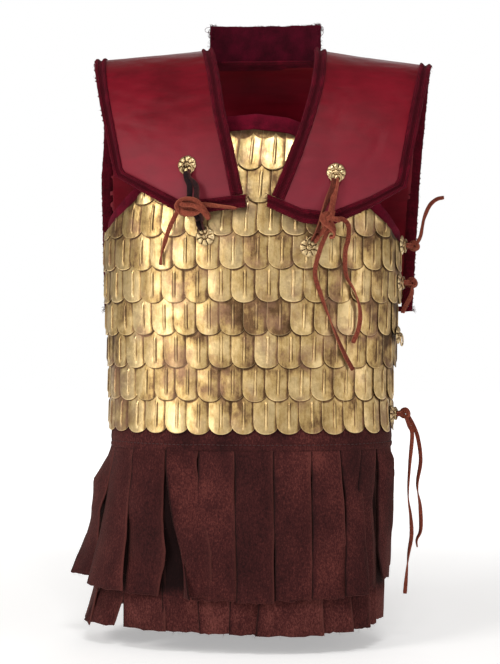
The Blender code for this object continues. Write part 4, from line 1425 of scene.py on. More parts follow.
def bands(look):
    for seed, (name, low, high) in enumerate(FRONT_BANDS + BACK_BANDS):
        start = max(low, OPENING_EDGE) if low < 1 else max(low, SIDE_SEAM)
        end = min(high, SIDE_SEAM) if high <= 1.01 else min(high, 2 - OPENING_EDGE)
        form = Form()
        count = max(int((end - start) * 90), 12)
        rows, cuts, rims = [], [], []
        for around in columns_of(start + 0.0004, end - 0.0004, count):
            ring, cut, rim = [], [], []
            wave = noise.noise(Vector((around * 14, seed, 0.5))) * 0.0009
            for part, high_up in BAND_PROFILE + tuple((p, -0.42) for p in (0.94, 0.5, 0.06)):
                ring.append(
                    skin(
                        around,
                        upper_edge(around) - (BAND_WIDTH + BAND_HANG) * (1 - part) + wave * 0.5,
                        high_up * BAND + wave,
                    )
                )
                cut.append((around * 0.6, part * BAND_WIDTH))
                rim.append(1.0 if part in (0.0, 1.0) else 0.0)
            rows.append(ring)
            cuts.append(cut)
            rims.append(rim)
        made = form.grid(rows, 0.5, rims, cuts, around=True)
        form.cap(made[0], turned=True)
        form.cap(made[-1])
        dice = random.Random(90 + seed)
        for _ in range(count // 2):
            index = dice.randrange(1, len(rows) - 1)
            spot = rows[index][dice.choice((1, 10))]
            up = Vector((dice.uniform(-0.5, 0.5), -0.6, dice.uniform(0.2, 1))).normalized()
            hair(form, spot, up, dice.uniform(0.0015, 0.004), dice)
        piece = form.place(name + "_felt", look, [name])


def waistbands(look):
    """The suede belt, turned under along its lower edge."""
    for side, start, end in (("front", OPENING_EDGE, SIDE_SEAM), ("back", SIDE_SEAM, 2 - OPENING_EDGE)):
        form = Form()
        profile = (
            (0.0, 0.0006), (0.05, 0.0016), (0.10, 0.0020), (0.16, 0.0013), (0.22, 0.0003), (0.27, 0.0010),
            (0.36, 0.0013), (0.50, 0.0010), (0.65, 0.0007), (0.80, 0.0004), (0.92, 0.0001), (1.0, -0.0003),
        )
        places = columns_of(start, end, 130)
        rows, shades, cuts = [], [], []
        for part, out in profile:
            row, tone, cut = [], [], []
            for around in places:
                wave = noise.noise(Vector((around * 16, part * 1.5, 7.0)))
                fine = noise.noise(Vector((around * 60, part * 5, 2.0)))
                height = WAIST_BOTTOM + (WAIST_TOP - WAIST_BOTTOM) * part
                height += wave * 0.0012 * (1 - part) + fine * 0.0004
                row.append(skin(around, height, WAIST_OUT + out + wave * 0.0010 + fine * 0.0003))
                tone.append(0.46 + 0.22 * wave)
                cut.append((around * 0.6, height))
            rows.append(row)
            shades.append(tone)
            cuts.append(cut)
        form.shell(rows, SUEDE, shades, None, cuts)
        piece = form.place("waistband_suede_" + side, look, ["waistband_" + side])
        width = round(outline(-0.515)[0][1][-1], 3)


def stitches(look):
    """Thread stitches along the waistband."""
    for side, start, end in (("front", OPENING_EDGE, SIDE_SEAM), ("back", SIDE_SEAM, 2 - OPENING_EDGE)):
        form = Form()
        dice = random.Random(7)
        count = 84
        step = (end - start) / count
        for number in range(count):
            middle = start + step * (number + 0.5)
            route = []
            for part in (-0.34, -0.2, 0, 0.2, 0.34):
                around = middle + part * step
                wave = noise.noise(Vector((around * 16, 0.33, 7.0)))
                out = WAIST_OUT + 0.0014 + 0.0004 * math.cos(part * math.pi / 0.68) + wave * 0.0010
                height = WAIST_BOTTOM + 0.0078 + wave * 0.0009 + part * dice.uniform(-0.001, 0.001)
                route.append(skin(around, height, out))
            form.tube(route, 0.00042, 6, dice.uniform(0.3, 0.8), (0.5, 1, 1.1, 1, 0.5))
        form.place("waistband_stitches_" + side, look)


# How the strips of the front wander from a straight fall: at each part of the way down, how far
# the edge on the wearer's right and on the left moves towards the wearer's left, how it twists and
# how far it swings out
Turn = namedtuple("Turn", "part right left bend out", defaults=[0])
STRAIGHT_FALL = [Turn(0, 0, 0, 0), Turn(1, 0, 0, 0)]
OUTER_FALLS = {
    1: [
        Turn(0, 0, 0, 0), Turn(0.12, 0.003, 0.001, -0.28), Turn(0.35, 0.002, 0.001, -0.30),
        Turn(0.50, 0, 0.001, -0.22), Turn(0.7, -0.002, 0.001, 0), Turn(1, -0.002, 0.002, 0.15),
    ],
    2: [
        Turn(0, 0, 0, 0), Turn(0.1, -0.002, -0.001, 0), Turn(0.3, -0.010, -0.006, 0.1),
        Turn(0.5, -0.015, -0.017, 0.1), Turn(0.7, -0.018, -0.023, 0.1), Turn(1, -0.020, -0.023, 0.1),
    ],
    3: [
        Turn(0, 0, 0, 0), Turn(0.3, 0.003, -0.003, -0.1), Turn(0.5, 0.001, -0.006, 0),
        Turn(0.7, -0.0025, -0.006, 0.1), Turn(0.85, -0.008, -0.007, 0), Turn(1, -0.0103, -0.008, 0),
    ],
    4: [
        Turn(0, 0, 0, 0), Turn(0.35, 0.0005, 0.002, -0.1), Turn(0.7, -0.002, 0.001, 0),
        Turn(1, -0.005, -0.002, 0),
    ],
    5: [Turn(0, 0, 0, 0), Turn(0.3, 0.002, 0, 0), Turn(0.7, 0.0015, -0.002, 0), Turn(1, 0.0005, -0.004, 0)],
    6: [
        Turn(0, 0, 0, 0), Turn(0.3, 0.0026, 0.002, 0), Turn(0.7, 0.005, 0.002, 0),
        Turn(1, 0.0058, 0.0013, 0),
    ],
    7: [Turn(0, 0, 0, 0), Turn(0.3, 0, 0.003, 0), Turn(0.7, 0, 0.0052, 0), Turn(1, 0, 0.0074, 0)],
    8: [
        Turn(0, 0.002, 0, 0), Turn(0.10, 0.006, -0.002, 0.3), Turn(0.3, 0.0096, 0.002, 0.25),
        Turn(0.5, 0.0143, 0.0085, 0.1), Turn(0.7, 0.020, 0.0122, -0.3), Turn(0.85, 0.025, 0.0098, -0.2),
        Turn(1, 0.0276, 0.0093, 0),
    ],
    9: [
        Turn(0, 0.001, 0, 0), Turn(0.10, 0.006, 0.001, 0.2), Turn(0.3, 0.0047, 0.004, 0.1),
        Turn(0.5, 0.0052, 0.007, 0), Turn(0.7, 0.008, 0.0165, -0.2), Turn(0.85, 0.0115, 0.0106, -0.1),
        Turn(1, 0.0145, 0.008, 0),
    ],
    10: [
        Turn(0, 0, 0, 0), Turn(0.3, 0.001, 0.003, 0.05), Turn(0.5, 0, 0.007, 0), Turn(0.8, 0, 0.013, 0.05),
        Turn(1, -0.001, 0.018, 0.1),
    ],
    11: [
        Turn(0, 0, 0, 0), Turn(0.12, 0, 0, 0.10), Turn(0.3, 0, 0, 0.50, -0.001), Turn(0.5, 0, 0, 0.3),
        Turn(0.7, 0, 0, 0.35, -0.0095), Turn(0.85, 0, 0, 0.6, -0.019), Turn(1, 0, 0, 0.8, -0.0235),
    ],
}
INNER_FALLS = {
    4: [Turn(0, 0, 0, 0), Turn(0.6, 0.001, 0.001, 0), Turn(1, 0.002, 0.002, 0)],
    5: [Turn(0, 0, 0, 0), Turn(0.5, -0.010, 0.002, 0), Turn(1, -0.026, 0.004, 0)],
    6: [Turn(0, 0, 0, 0), Turn(0.5, 0, -0.004, 0), Turn(1, 0, -0.0150, 0)],
    7: [Turn(0, 0, 0, 0), Turn(0.5, 0.002, -0.001, 0), Turn(1, 0.0065, -0.003, 0)],
    9: [Turn(0, 0, 0, 0), Turn(0.6, -0.002, 0.002, 0), Turn(1, -0.004, 0.004, 0)],
    10: [
        Turn(0, 0, 0, 0), Turn(0.5, 0, 0, 0), Turn(0.82, 0, 0, 0.2, 0.004),
        Turn(1, -0.012, -0.012, 0.5, 0.019),
    ],
}
STRIP_COLUMNS = (-1, -0.92, -0.7, -0.45, -0.2, 0, 0.2, 0.45, 0.7, 0.92, 1)
STRIP_ROWS = 34
# How far strips of the lower layer lap over each other, and how far in and out they alternate
LAYER_LAP = 0.0012
# How far the heads of the upper and the lower strips go up behind what carries them
OUTER_TUCK = 0.006
INNER_TUCK = 0.002
LAYER_STEP = 0.0009


def strip_spot(cuts, strips, index, part, u, layer):
    """A point of a hanging strip: part runs down it and u from -1 to 1 across it."""
    top, hem, base, side, falls = layer
    start, end = cuts[index], cuts[index + 1]
    strip = strips[index]
    length = outline(round(top, 6))[0][1][-1]
    half = (end - start) / 2 * length + (LAYER_LAP if side < 0 else -SLIT * 0.2)
    seed = index * 7.3 + (50 if side < 0 else 0) + (23 if cuts[0] >= 1 else 0)
    fall = falls.get(index, STRAIGHT_FALL)
    aside = straight(fall, "part", "right" if u > 0 else "left", part) * abs(u)
    # The strip narrows a little where it hangs free, and its edges waver
    slim = 1 - (0.025 if side > 0 else 0) * ease(0.0, 0.25, part)
    waver = noise.noise(Vector((seed, part * 4.2, u * 0.4))) * 0.0016 * ease(0, 0.2, part)
    turn = strip.twist * part + straight(fall, "part", "bend", part)
    turn += 0.20 * noise.noise(Vector((seed + 3, part * 2.6, 1.0))) * ease(0.0, 0.3, part)
    across = u * half * slim * math.cos(turn)
    lean = u * half * slim * math.sin(turn)
    stand = half * abs(math.sin(turn)) * 0.8
    lift = strip.lift * part ** (LIFT_AWAY if strip.lift > 0 else LIFT_TOWARDS)
    cup = 0.0020 * (u * u - 0.35) * math.sin(seed * 1.7) * ease(0.05, 0.5, part)
    ripple = 0.0016 * noise.noise(Vector((seed + 9, part * 7.0, u * 0.8))) * ease(0.0, 0.15, part)
    out = base + side * (lift + stand) + lean + cup + ripple + straight(fall, "part", "out", part)
    if side < 0:
        out += LAYER_STEP if index % 2 else -LAYER_STEP
    around = (start + end) / 2 + (across + waver - aside) / length
    around += strip.shift / length * part**1.5
    ragged = 0.0022 * noise.noise(Vector((seed, u * 3.1, 8.0)))
    ragged += 0.0009 * noise.noise(Vector((seed, u * 14, 2.0)))
    height = top + (hem + strip.hem - top) * part + ragged * part**6
    return skin(around, height, out)


def skirts(look, dark_look):
    """Two layers of suede strips, front and back: the upper one over the belt, the lower one behind."""
    outer = (WAIST_BOTTOM + OUTER_TUCK, OUTER_HEM, WAIST_OUT, 1)
    inner = (BODY_BOTTOM + INNER_TUCK, INNER_HEM, -INNER_DROP, -1)
    layers = (
        ("outer_front", FRONT_CUTS, FRONT_OUTER, outer + (OUTER_FALLS,)),
        ("outer_back", BACK_CUTS, BACK_OUTER, outer + ({},)),
        ("inner_front", FRONT_CUTS, FRONT_INNER, inner + (INNER_FALLS,)),
        ("inner_back", BACK_CUTS, BACK_INNER, inner + ({},)),
    )
    for name, cuts, strips, layer in layers:
        form = Form()
        dice = random.Random(name)
        for index in range(len(strips)):
            rows, cut, rims, tones = [], [], [], []
            tone = dice.uniform(0.36, 0.64)
            for step in range(STRIP_ROWS + 1):
                part = 1 - step / STRIP_ROWS
                row = [strip_spot(cuts, strips, index, part, -u, layer) for u in STRIP_COLUMNS]
                rows.append(row)
                cut.append([(index + u * 0.02, part * 0.2) for u in STRIP_COLUMNS])
                # Painted highlight along each strip's edge on the wearer's left
                rims.append([0.9 if u == 1 else 0.2 if u > 0.9 else 0.0 for u in STRIP_COLUMNS])
                wave = noise.noise(Vector((index * 3.1, part * 2.2, 4.0)))
                # Painted shade on the lower layer where the upper layer hangs over it
                covered_shade = ease(OUTER_HEM - 0.004, OUTER_HEM + 0.016, row[5].z) if layer[3] < 0 else 0
                shades = []
                for u in STRIP_COLUMNS:
                    plain = tone + 0.12 * wave - 0.08 * u * math.sin(index * 2.3)
                    # Painted shade along each strip's edge on the wearer's right, in the slit between strips
                    tucked_shade = 1.0 if u == -1 else 0.35 if u < -0.9 else 0.0
                    shades.append(max(plain * (1 - 0.9 * covered_shade) * (1 - 0.85 * tucked_shade), 0.0))
                tones.append(shades)
            form.shell(rows, SUEDE, tones, rims, cut)
            for _ in range(16):
                r = dice.randrange(0, STRIP_ROWS)
                c = dice.choice((0, len(STRIP_COLUMNS) - 1)) if dice.random() < 0.7 else dice.randrange(11)
                if c not in (0, len(STRIP_COLUMNS) - 1):
                    r = 0
                way = rows[r][c] - rows[r][min(max(c, 1), 9)]
                way = way.normalized() if way.length > 1e-5 else Vector((0, 0, -1))
                if r == 0:
                    way = (way + Vector((0, 0, -1.2))).normalized()
                hair(form, rows[r][c], way, dice.uniform(0.0015, 0.0045), dice)
        piece = form.place("strips_" + name, look if "outer" in name else dark_look, ["pteruges_" + name])
        wide = round(outline(-0.55)[0][1][-1], 3)


# Loops of pulled thread at the guard's upper corners
LOOPS = 7
LOOP_REACH = 0.0085


def pulled_loops(form, corner, outward, dice):
    """Threads that the wear at a corner has pulled out into loops."""
    for _ in range(LOOPS):
        start = corner + Vector((-outward * dice.uniform(0, 0.006), 0, dice.uniform(-0.010, 0.001)))
        reach = LOOP_REACH * dice.uniform(0.45, 1.0)
        rise = dice.uniform(-0.5, 0.5) * reach
        open_by = reach * dice.uniform(0.2, 0.45)
        route = [
            start
            + Vector(
                (
                    outward * reach * math.sin(turn / 2),
                    0.002 * math.sin(turn),
                    rise * math.sin(turn / 2) + open_by * math.sin(turn) - 0.001 * turn,
                )
            )
            for turn in (2 * math.pi * step / 12 for step in range(13))
        ]
        form.tube(route, 0.00032, 5, dice.uniform(0.4, 0.9))


def guard(look):
    """The neck guard of felt, worn at its upper corners."""
    form = Form()
    rows, rims, cuts = [], [], []
    rows_up, columns = 22, 72
    for row in range(rows_up + 1):
        part = row / rows_up
        spots, rim, cut = [], [], []
        for column in range(columns + 1):
            aside = 2 * column / columns - 1
            x = GUARD_HALF * aside
            y = GUARD_BACK - GUARD_BEND * abs(aside) ** 5
            run = math.asin(y / BACK_REACH) * 2 / math.pi
            base = yoke_spot(x, run).z + GUARD_SEAT * 0.3
            top = GUARD_TOP - GUARD_CORNER * abs(aside) ** 8
            worn = 0.0012 * noise.noise(Vector((x * 60, 1.0, 0.0)))
            worn += 0.0007 * noise.noise(Vector((x * 260, 5.0, 0.0)))
            height = base + (top - base) * part + worn * part**5
            side = 0.0010 * noise.noise(Vector((part * 9, 4.0, aside))) * abs(aside) ** 9
            wave = 0.0008 * noise.noise(Vector((x * 35, part * 3, 9.0)))
            spots.append(Vector((x + side, y + GUARD_LEAN * part + wave, height)))
            rim.append(0.0)
            cut.append((x, height))
        rows.append(spots)
        rims.append(rim)
        cuts.append(cut)
    form.shell(rows, FELT, 0.45, rims, cuts, bulge=0.35)
    dice = random.Random(31)
    for _ in range(420):
        c = dice.randrange(columns + 1)
        if dice.random() < 0.45:
            c = dice.choice((0, 1, 2, 3, columns - 3, columns - 2, columns - 1, columns))
        r = rows_up if dice.random() < 0.75 else dice.randrange(rows_up)
        if r < rows_up:
            c = dice.choice((0, columns))
        outward = Vector((1 if c > columns / 2 else -1, 0, 0)) if r < rows_up else Vector((0, 0, 1))
        lean = Vector((dice.uniform(-0.7, 0.7), dice.uniform(-0.8, 0.3), dice.uniform(-0.2, 0.5)))
        way = (outward + lean).normalized()
        corner = c < 5 or c > columns - 5
        hair(form, rows[r][c], way, dice.uniform(0.002, 0.0055 if corner else 0.0032), dice)
    pulled_loops(form, rows[-1][0], -1, dice)
    pulled_loops(form, rows[-1][-1], 1, dice)
    piece = form.place("guard_felt", look, ["neck_guard"])


def crumple(x, run):
    """How far the yoke's leather stands in and out of its smooth form."""
    slow = noise.noise(Vector((x * 9, run * 2.6, 1.0))) * 0.0022
    crease = noise.noise(Vector((x * 10 + run * 2, run * 9, 6.0)))
    fine = noise.noise(Vector((x * 34, run * 26, 2.0))) * 0.0005
    fold = -0.0011 * max(0.0, 1 - abs(crease) / 0.09) * ease(0.05, 0.4, abs(run))
    return slow * ease(0.0, 0.3, abs(run)) + fold + fine


def yoke_face(x, run, out=0.0):
    """A point over the yoke's middle surface, at a height above it."""
    step = 0.0015
    across = yoke_spot(x + step, run) - yoke_spot(x - step, run)
    low, high = max(run - step, -0.9995), min(run + step, 1.9995)
    upward = yoke_spot(x, high) - yoke_spot(x, low)
    return yoke_spot(x, run) + across.cross(upward).normalized() * out


# How far the leather runs under its binding, the point of its run where the binding's inner edge lies at the
# flaps and at the hem, and where it ends itself
YOKE_LAP = 0.004
FLAP_INSIDE = -0.954
HEM_INSIDE = 1.9615
SHORT_OF_HEM = 1.93


def yoke_leather(look):
    """The leather of the yoke: under its binding at the sides and flaps, and above it at the hem."""
    runs = [-0.962 + 0.0195 * step for step in range(49)]
    runs += [0.012 + (0.261 - 0.012) * step / 14 for step in range(1, 14)]
    neck_row = len(runs)
    runs += [0.261 - 0.012 + (SHORT_OF_HEM - 0.249) * step / 70 for step in range(1, 71)]
    half = 26
    rows = []
    for index, run in enumerate(runs):
        sides = []
        for side in (-1, 1):
            inner, outer = yoke_edges(max(run, -1), side)
            low, high = inner + BINDING_WIDTH - YOKE_LAP, outer - BINDING_WIDTH + YOKE_LAP
            sides.append(
                [
                    yoke_face(side * x, run, crumple(side * x, run))
                    for x in (low + (high - low) * step / half for step in range(half + 1))
                ]
            )
        low = NECK_HALF + BINDING_WIDTH - YOKE_LAP
        middle = [
            yoke_face(x, run, crumple(x, run)) if index >= neck_row else None
            for x in (-low + 2 * low * step / 16 for step in range(1, 16))
        ]
        rows.append(sides[0][::-1] + middle + sides[1])
    form = Form()
    form.shell(rows, LEATHER, 0.5)
    piece = form.place("yoke_skin", look, ["yoke"])


# The woven binding over its width, from its outer edge inward: how high above the yoke it stands
BINDING_PROFILE = (
    (0.00, -0.0006), (0.015, 0.0016), (0.06, 0.0034), (0.13, 0.0042), (0.21, 0.0041), (0.29, 0.0034),
    (0.36, 0.0022), (0.43, 0.0012), (0.50, 0.0009), (0.57, 0.0012), (0.64, 0.0022), (0.71, 0.0033),
    (0.80, 0.0041), (0.88, 0.0041), (0.95, 0.0034), (0.99, 0.0018), (1.00, 0.0002),
)
# Radius of the fibres at a binding's cut ends
END_FIBRE = 0.00018
BINDING_UNDER = ((0.97, -0.0019), (0.6, -0.0022), (0.3, -0.0022), (0.03, -0.0020))


def binding(name, look, pairs, seed):
    """A woven edge: pairs are the outer and inner ends of its cross lines, as (x, run)."""
    form = Form()
    dice = random.Random(seed)
    rows, cuts, rims, tones = [], [], [], []
    travelled = 0.0
    before = None
    for (x0, r0), (x1, r1) in pairs:
        middle = yoke_spot((x0 + x1) / 2, (r0 + r1) / 2)
        if before is not None:
            travelled += (middle - before).length
        before = middle
        wave = noise.noise(Vector((travelled * 60, seed, 0.3)))
        fuzz = noise.noise(Vector((travelled * 420, seed, 4.3)))
        ring, cut, rim, tone = [], [], [], []
        for part, out in BINDING_PROFILE + BINDING_UNDER:
            run = min(max(r0 + (r1 - r0) * part, -1), 2)
            raised = out > 0.002
            rough = 0.0008 * noise.noise(Vector((travelled * 400, part * 7, seed))) if out > 0 else 0
            height = out + (0.0005 * wave + rough if raised else 0.0002 * wave + rough * 0.4)
            spot = yoke_face(x0 + (x1 - x0) * part, run, height)
            if part == 0.0:
                away = spot - yoke_face(x0 + (x1 - x0) * 0.15, min(max(r0 + (r1 - r0) * 0.15, -1), 2), height)
                spot += away.normalized() * (0.0008 * fuzz + 0.0004)
            ring.append(spot)
            cut.append((travelled, part * BINDING_WIDTH))
            rim.append(1.0 if part in (0.0, 0.015) else 0.0)
            # Painted shade in the groove down the tape's middle, with painted light on the raised bumps and
            # shade between them
            tone.append(0.5 + 0.3 * wave + 500 * rough - (0.45 if 0.35 < part < 0.65 and out > 0 else 0))
        rows.append(ring)
        cuts.append(cut)
        rims.append(rim)
        tones.append(tone)
    made = form.grid(rows, 0.5, rims, cuts, around=True)
    for ring, tone in zip(made, tones):
        for index, value in zip(ring, tone):
            form.shade[index] = value
    form.cap(made[0], turned=True)
    form.cap(made[-1])
    for index in range(2, len(rows) - 2, 2):
        ring = rows[index]
        away = (ring[1] - ring[4]).normalized()
        if dice.random() < 0.55:
            knot(form, ring[1] + away * 0.0003, 0.0012 * dice.uniform(0.6, 1.2))
        if dice.random() < 0.8:
            lean = Vector((dice.uniform(-0.6, 0.6), dice.uniform(-0.5, 0.2), dice.uniform(-0.6, 0.6)))
            hair(form, ring[1], (away + lean).normalized(), dice.uniform(0.0015, 0.0042), dice)
        if dice.random() < 0.35:
            lean = Vector((dice.uniform(-0.6, 0.6), dice.uniform(-0.8, 0.1), dice.uniform(-0.6, 0.6)))
            hair(form, ring[dice.randrange(3, 14)], lean.normalized(), dice.uniform(0.001, 0.0025), dice)
    for end, way in ((rows[0], rows[0][8] - rows[2][8]), (rows[-1], rows[-1][8] - rows[-3][8])):
        for _ in range(26):
            lean = Vector((dice.uniform(-0.4, 0.4), dice.uniform(-0.4, 0.4), dice.uniform(-0.4, 0.4)))
            spot = end[dice.randrange(1, 16)]
            away = (way.normalized() + lean).normalized()
            hair(form, spot, away, dice.uniform(0.002, 0.006), dice, END_FIBRE)
    piece = form.place(name + "_woven", look, [name])
    middle = [ring[8] for ring in rows]


def knot(form, spot, radius):
    """A small lump where the edge's thread is knotted."""
    rows = []
    for ring in range(1, 4):
        turn = math.pi * ring / 4
        rows.append(
            [
                spot
                + Vector((math.sin(turn) * math.cos(a), math.sin(turn) * math.sin(a), math.cos(turn)))
                * radius
                for a in (math.pi * k / 3 + ring * 0.3 for k in range(6))
            ]
        )
    made = form.grid(rows, 0.9, around=True, turned=True)
    form.cap(made[0])
    form.cap(made[-1], turned=True)


def bindings(look):
    width = BINDING_WIDTH
    low = FLAP_INSIDE
    for side, name in ((-1, "binding_right"), (1, "binding_left")):
        pairs = []
        inner = yoke_edges(-1, side)[0]
        outer = yoke_edges(-1, side)[1]
        count = 90
        for step in range(count + 1):
            part = step / count
            outside = inner + (outer - inner) * part
            inside = inner + (outer - width - inner) * part
            pairs.append(((side * outside, -1), (side * inside, low)))
        count = 190
        for step in range(1, count + 1):
            part = step / count
            run = -1 + 2.9612 * part
            inside = low + (1.9612 - low) * part
            pairs.append(
                (
                    (side * yoke_edges(run, side)[1], run),
                    (side * (yoke_edges(inside, side)[1] - width), inside),
                )
            )
        binding(name, look, oriented(pairs), 3 + side)
    pairs = []
    for side in (-1, 1):
        leg = []
        for step in range(86):
            part = step / 85
            outside = -0.9515 + (NECK_RUN + 0.9515) * part
            inside = -0.9515 + (0.3 + 0.9515) * part
            leg.append(
                (
                    (side * yoke_edges(outside, side)[0], outside),
                    (side * (yoke_edges(inside, side)[0] + width), inside),
                )
            )
        if side < 0:
            pairs += leg
            for step in range(1, 34):
                x = -NECK_HALF + 2 * NECK_HALF * step / 34
                wide = NECK_HALF + width
                pairs.append(((x, NECK_RUN), (-wide + 2 * wide * step / 34, 0.3)))
        else:
            pairs += leg[::-1]
    binding("binding_neck", look, oriented(pairs), 9)
    pairs = []
    right, left = yoke_edges(2, -1)[1], yoke_edges(2, 1)[1]
    for step in range(121):
        x = -right + (right + left) * step / 120
        pairs.append(((x, 2), (x * 0.999, HEM_INSIDE)))
    binding("binding_hem", look, oriented(pairs), 12)


def oriented(pairs):
    """The cross lines in the order that makes the woven face look outward."""
    (x0, r0), (x1, r1) = pairs[len(pairs) // 3]
    (x2, r2), _ = pairs[len(pairs) // 3 + 1]
    along = yoke_spot(x2, r2) - yoke_spot(x0, r0)
    inward = yoke_spot(x1, r1) - yoke_spot(x0, r0)
    outward = yoke_face((x0 + x1) / 2, (r0 + r1) / 2, 0.01) - yoke_face((x0 + x1) / 2, (r0 + r1) / 2)
    return pairs if along.cross(inward).dot(outward) < 0 else pairs[::-1]


PETALS = 8
DISC_RINGS = (0.0, 0.10, 0.19, 0.26, 0.31, 0.36, 0.44, 0.56, 0.70, 0.82, 0.90, 0.955, 0.99, 1.0)
STAPLE_BEND = 0.0025
STAPLE_THREAD = 0.0009
# Width of one strand of a chest tie and of a side tie
CHEST_STRAND = 0.0076
SIDE_STRAND = 0.0050


def disc(form, matrix, seed):
    """A domed disc pressed into petals, with a raised middle."""
    sides = PETALS * 12
    turned = random.Random(seed).uniform(0, 1)
    middle = form.point(matrix @ Vector((0, 0, 0.0032)), 0.6, 0.3)
    made = []
    for part in DISC_RINGS[1:]:
        row = []
        for step in range(sides):
            turn = 2 * math.pi * step / sides
            petal = (step / 12 + turned) % 1 - 0.5
            scallop = 0.90 + 0.10 * math.sqrt(max(0, 1 - (2 * petal) ** 2 * 0.95))
            radius = ROSETTE_RADIUS * part * (1 + (scallop - 1) * ease(0.5, 1.0, part))
            dome = 0.0026 * math.sqrt(max(0, 1 - (part * 0.985) ** 2.4)) + 0.0003
            plump = 0.0007 * math.cos(petal * math.pi) * ease(0.3, 0.6, part) * (1 - ease(0.85, 1.0, part))
            groove = math.exp(-(((0.5 - abs(petal)) / 0.075) ** 2)) * ease(0.26, 0.42, part)
            groove *= 1 - 0.6 * ease(0.9, 1.0, part)
            button = 0.0011 * (1 - ease(0.20, 0.30, part))
            moat = 0.0006 * math.exp(-(((part - 0.31) / 0.045) ** 2))
            height = dome + plump + button - moat - 0.0013 * groove
            spot = Vector((math.cos(turn) * radius, math.sin(turn) * radius, max(height, 0.00005)))
            tone = 0.62 - 0.75 * groove - 0.45 * (moat / 0.0006)
            row.append(form.point(matrix @ spot, max(tone, 0), 0.85 * (1 - groove) * ease(0.4, 0.7, part)))
        made.append(row)
    for step in range(sides):
        after = (step + 1) % sides
        form.faces.append((middle, made[0][step], made[0][after]))
        for low, high in zip(made, made[1:]):
            form.faces.append((low[step], high[step], high[after], low[after]))
    form.cap(made[-1], turned=True)


def staple(form, matrix, pull, height):
    """The bent wire that holds a ring: it stands on the disc and its plane follows the pull."""
    along = Vector((pull[0], pull[1], 0)).normalized()
    for_x, for_z = along, Vector((0, 0, 1))
    route = []
    for step in range(19):
        turn = math.pi * (-0.12 + 1.24 * step / 18)
        route.append(
            matrix @ (for_x * math.cos(turn) * STAPLE_BEND + for_z * (math.sin(turn) * STAPLE_BEND + height))
        )
    form.tube(route, STAPLE_THREAD, 8, 0.45)


def laid_ring(form, matrix, pull, dice):
    """A ring that lies over the disc, drawn out by its thong."""
    shift = Vector((pull[0], pull[1], 0)) * RING_RADIUS
    tilt = Matrix.Rotation(dice.uniform(-0.06, 0.06), 4, "X")
    hung = matrix @ Matrix.Translation(shift + Vector((0, 0, RING_LIFT))) @ tilt
    form.ring(hung, RING_RADIUS, RING_WIRE, 48, 12, 0.4)


def doubled(form, start, end, waist, lateral, width, seed, tone):
    """One strand of a doubled thong, from inside one ring by way of the knot to the other."""
    points = []
    for matrix, pull, flip in (start, end):
        reach = 2 * RING_RADIUS
        side = Vector((-pull[1], pull[0], 0)) * lateral * 0.45 * flip
        way = Vector((pull[0], pull[1], 0))
        hook = [
            way * (reach - 0.0046) + side * 0.6 + Vector((0, 0, RING_LIFT - 0.0012)),
            way * (reach - 0.0024) + side * 0.8 + Vector((0, 0, RING_LIFT + 0.0018)),
            way * (reach + 0.0016) + side + Vector((0, 0, RING_LIFT + 0.0026)),
            way * (reach + 0.0070) + side + Vector((0, 0, RING_LIFT + 0.0016)),
        ]
        points.append([matrix @ spot for spot in hook])
    route = points[0] + waist + points[1][::-1]
    outward = (start[0].col[2] + end[0].col[2]).to_3d().normalized()
    fine = smooth_route(route, 0.0018)

    def twist(part):
        return 0.5 * math.sin(part * 7 + seed) + 0.25 * lateral / 0.003

    form.ribbon(fine, width, 0.0021, twist, tone, outward, rough=0.03, seed=seed)


# The wraps of the chest knots: route over the body, width and thickness
Wrap = namedtuple("Wrap", "rows width thickness twist")
CHEST_WRAPS = {
    "right": [
        Wrap(
            [(-0.0960, -0.2150, 0.0340), (-0.0880, -0.2165, 0.0350), (-0.0760, -0.2170, 0.0345),
             (-0.0690, -0.2165, 0.0325)],
            0.0120, 0.0070, 0.0,
        ),
        Wrap(
            [(-0.0880, -0.2275, 0.0350), (-0.0965, -0.2235, 0.0385), (-0.1008, -0.2160, 0.0395),
             (-0.0955, -0.2092, 0.0400), (-0.0850, -0.2072, 0.0410), (-0.0745, -0.2102, 0.0410),
             (-0.0660, -0.2190, 0.0390), (-0.0590, -0.2305, 0.0350)],
            0.0062, 0.0026, 0.5,
        ),
        Wrap(
            [(-0.0962, -0.2130, 0.0390), (-0.0900, -0.2150, 0.0425), (-0.0800, -0.2158, 0.0435),
             (-0.0710, -0.2195, 0.0420), (-0.0640, -0.2262, 0.0390), (-0.0590, -0.2335, 0.0350)],
            0.0060, 0.0026, -0.4,
        ),
        Wrap(
            [(-0.0970, -0.2190, 0.0350), (-0.0935, -0.2238, 0.0390), (-0.0855, -0.2262, 0.0410),
             (-0.0770, -0.2258, 0.0400), (-0.0700, -0.2215, 0.0365)],
            0.0072, 0.0028, 0.3,
        ),
    ],
    "left": [
        Wrap(
            [(0.0905, -0.2290, 0.0345), (0.0935, -0.2350, 0.0355), (0.0975, -0.2420, 0.0350),
             (0.1000, -0.2490, 0.0335)],
            0.0095, 0.0065, 0.0,
        ),
        Wrap(
            [(0.0950, -0.2265, 0.0350), (0.0880, -0.2290, 0.0385), (0.0868, -0.2340, 0.0405),
             (0.0910, -0.2392, 0.0420), (0.0968, -0.2440, 0.0420), (0.1015, -0.2500, 0.0400),
             (0.1008, -0.2556, 0.0370), (0.0955, -0.2560, 0.0345)],
            0.0078, 0.0030, 0.4,
        ),
        Wrap(
            [(0.1000, -0.2225, 0.0350), (0.0985, -0.2290, 0.0385), (0.0935, -0.2335, 0.0400),
             (0.0880, -0.2375, 0.0380), (0.0870, -0.2430, 0.0350)],
            0.0060, 0.0026, -0.5,
        ),
        Wrap(
            [(0.0900, -0.2345, 0.0350), (0.0965, -0.2330, 0.0385), (0.1040, -0.2335, 0.0380),
             (0.1085, -0.2345, 0.0345)],
            0.0066, 0.0026, 0.2,
        ),
    ],
}
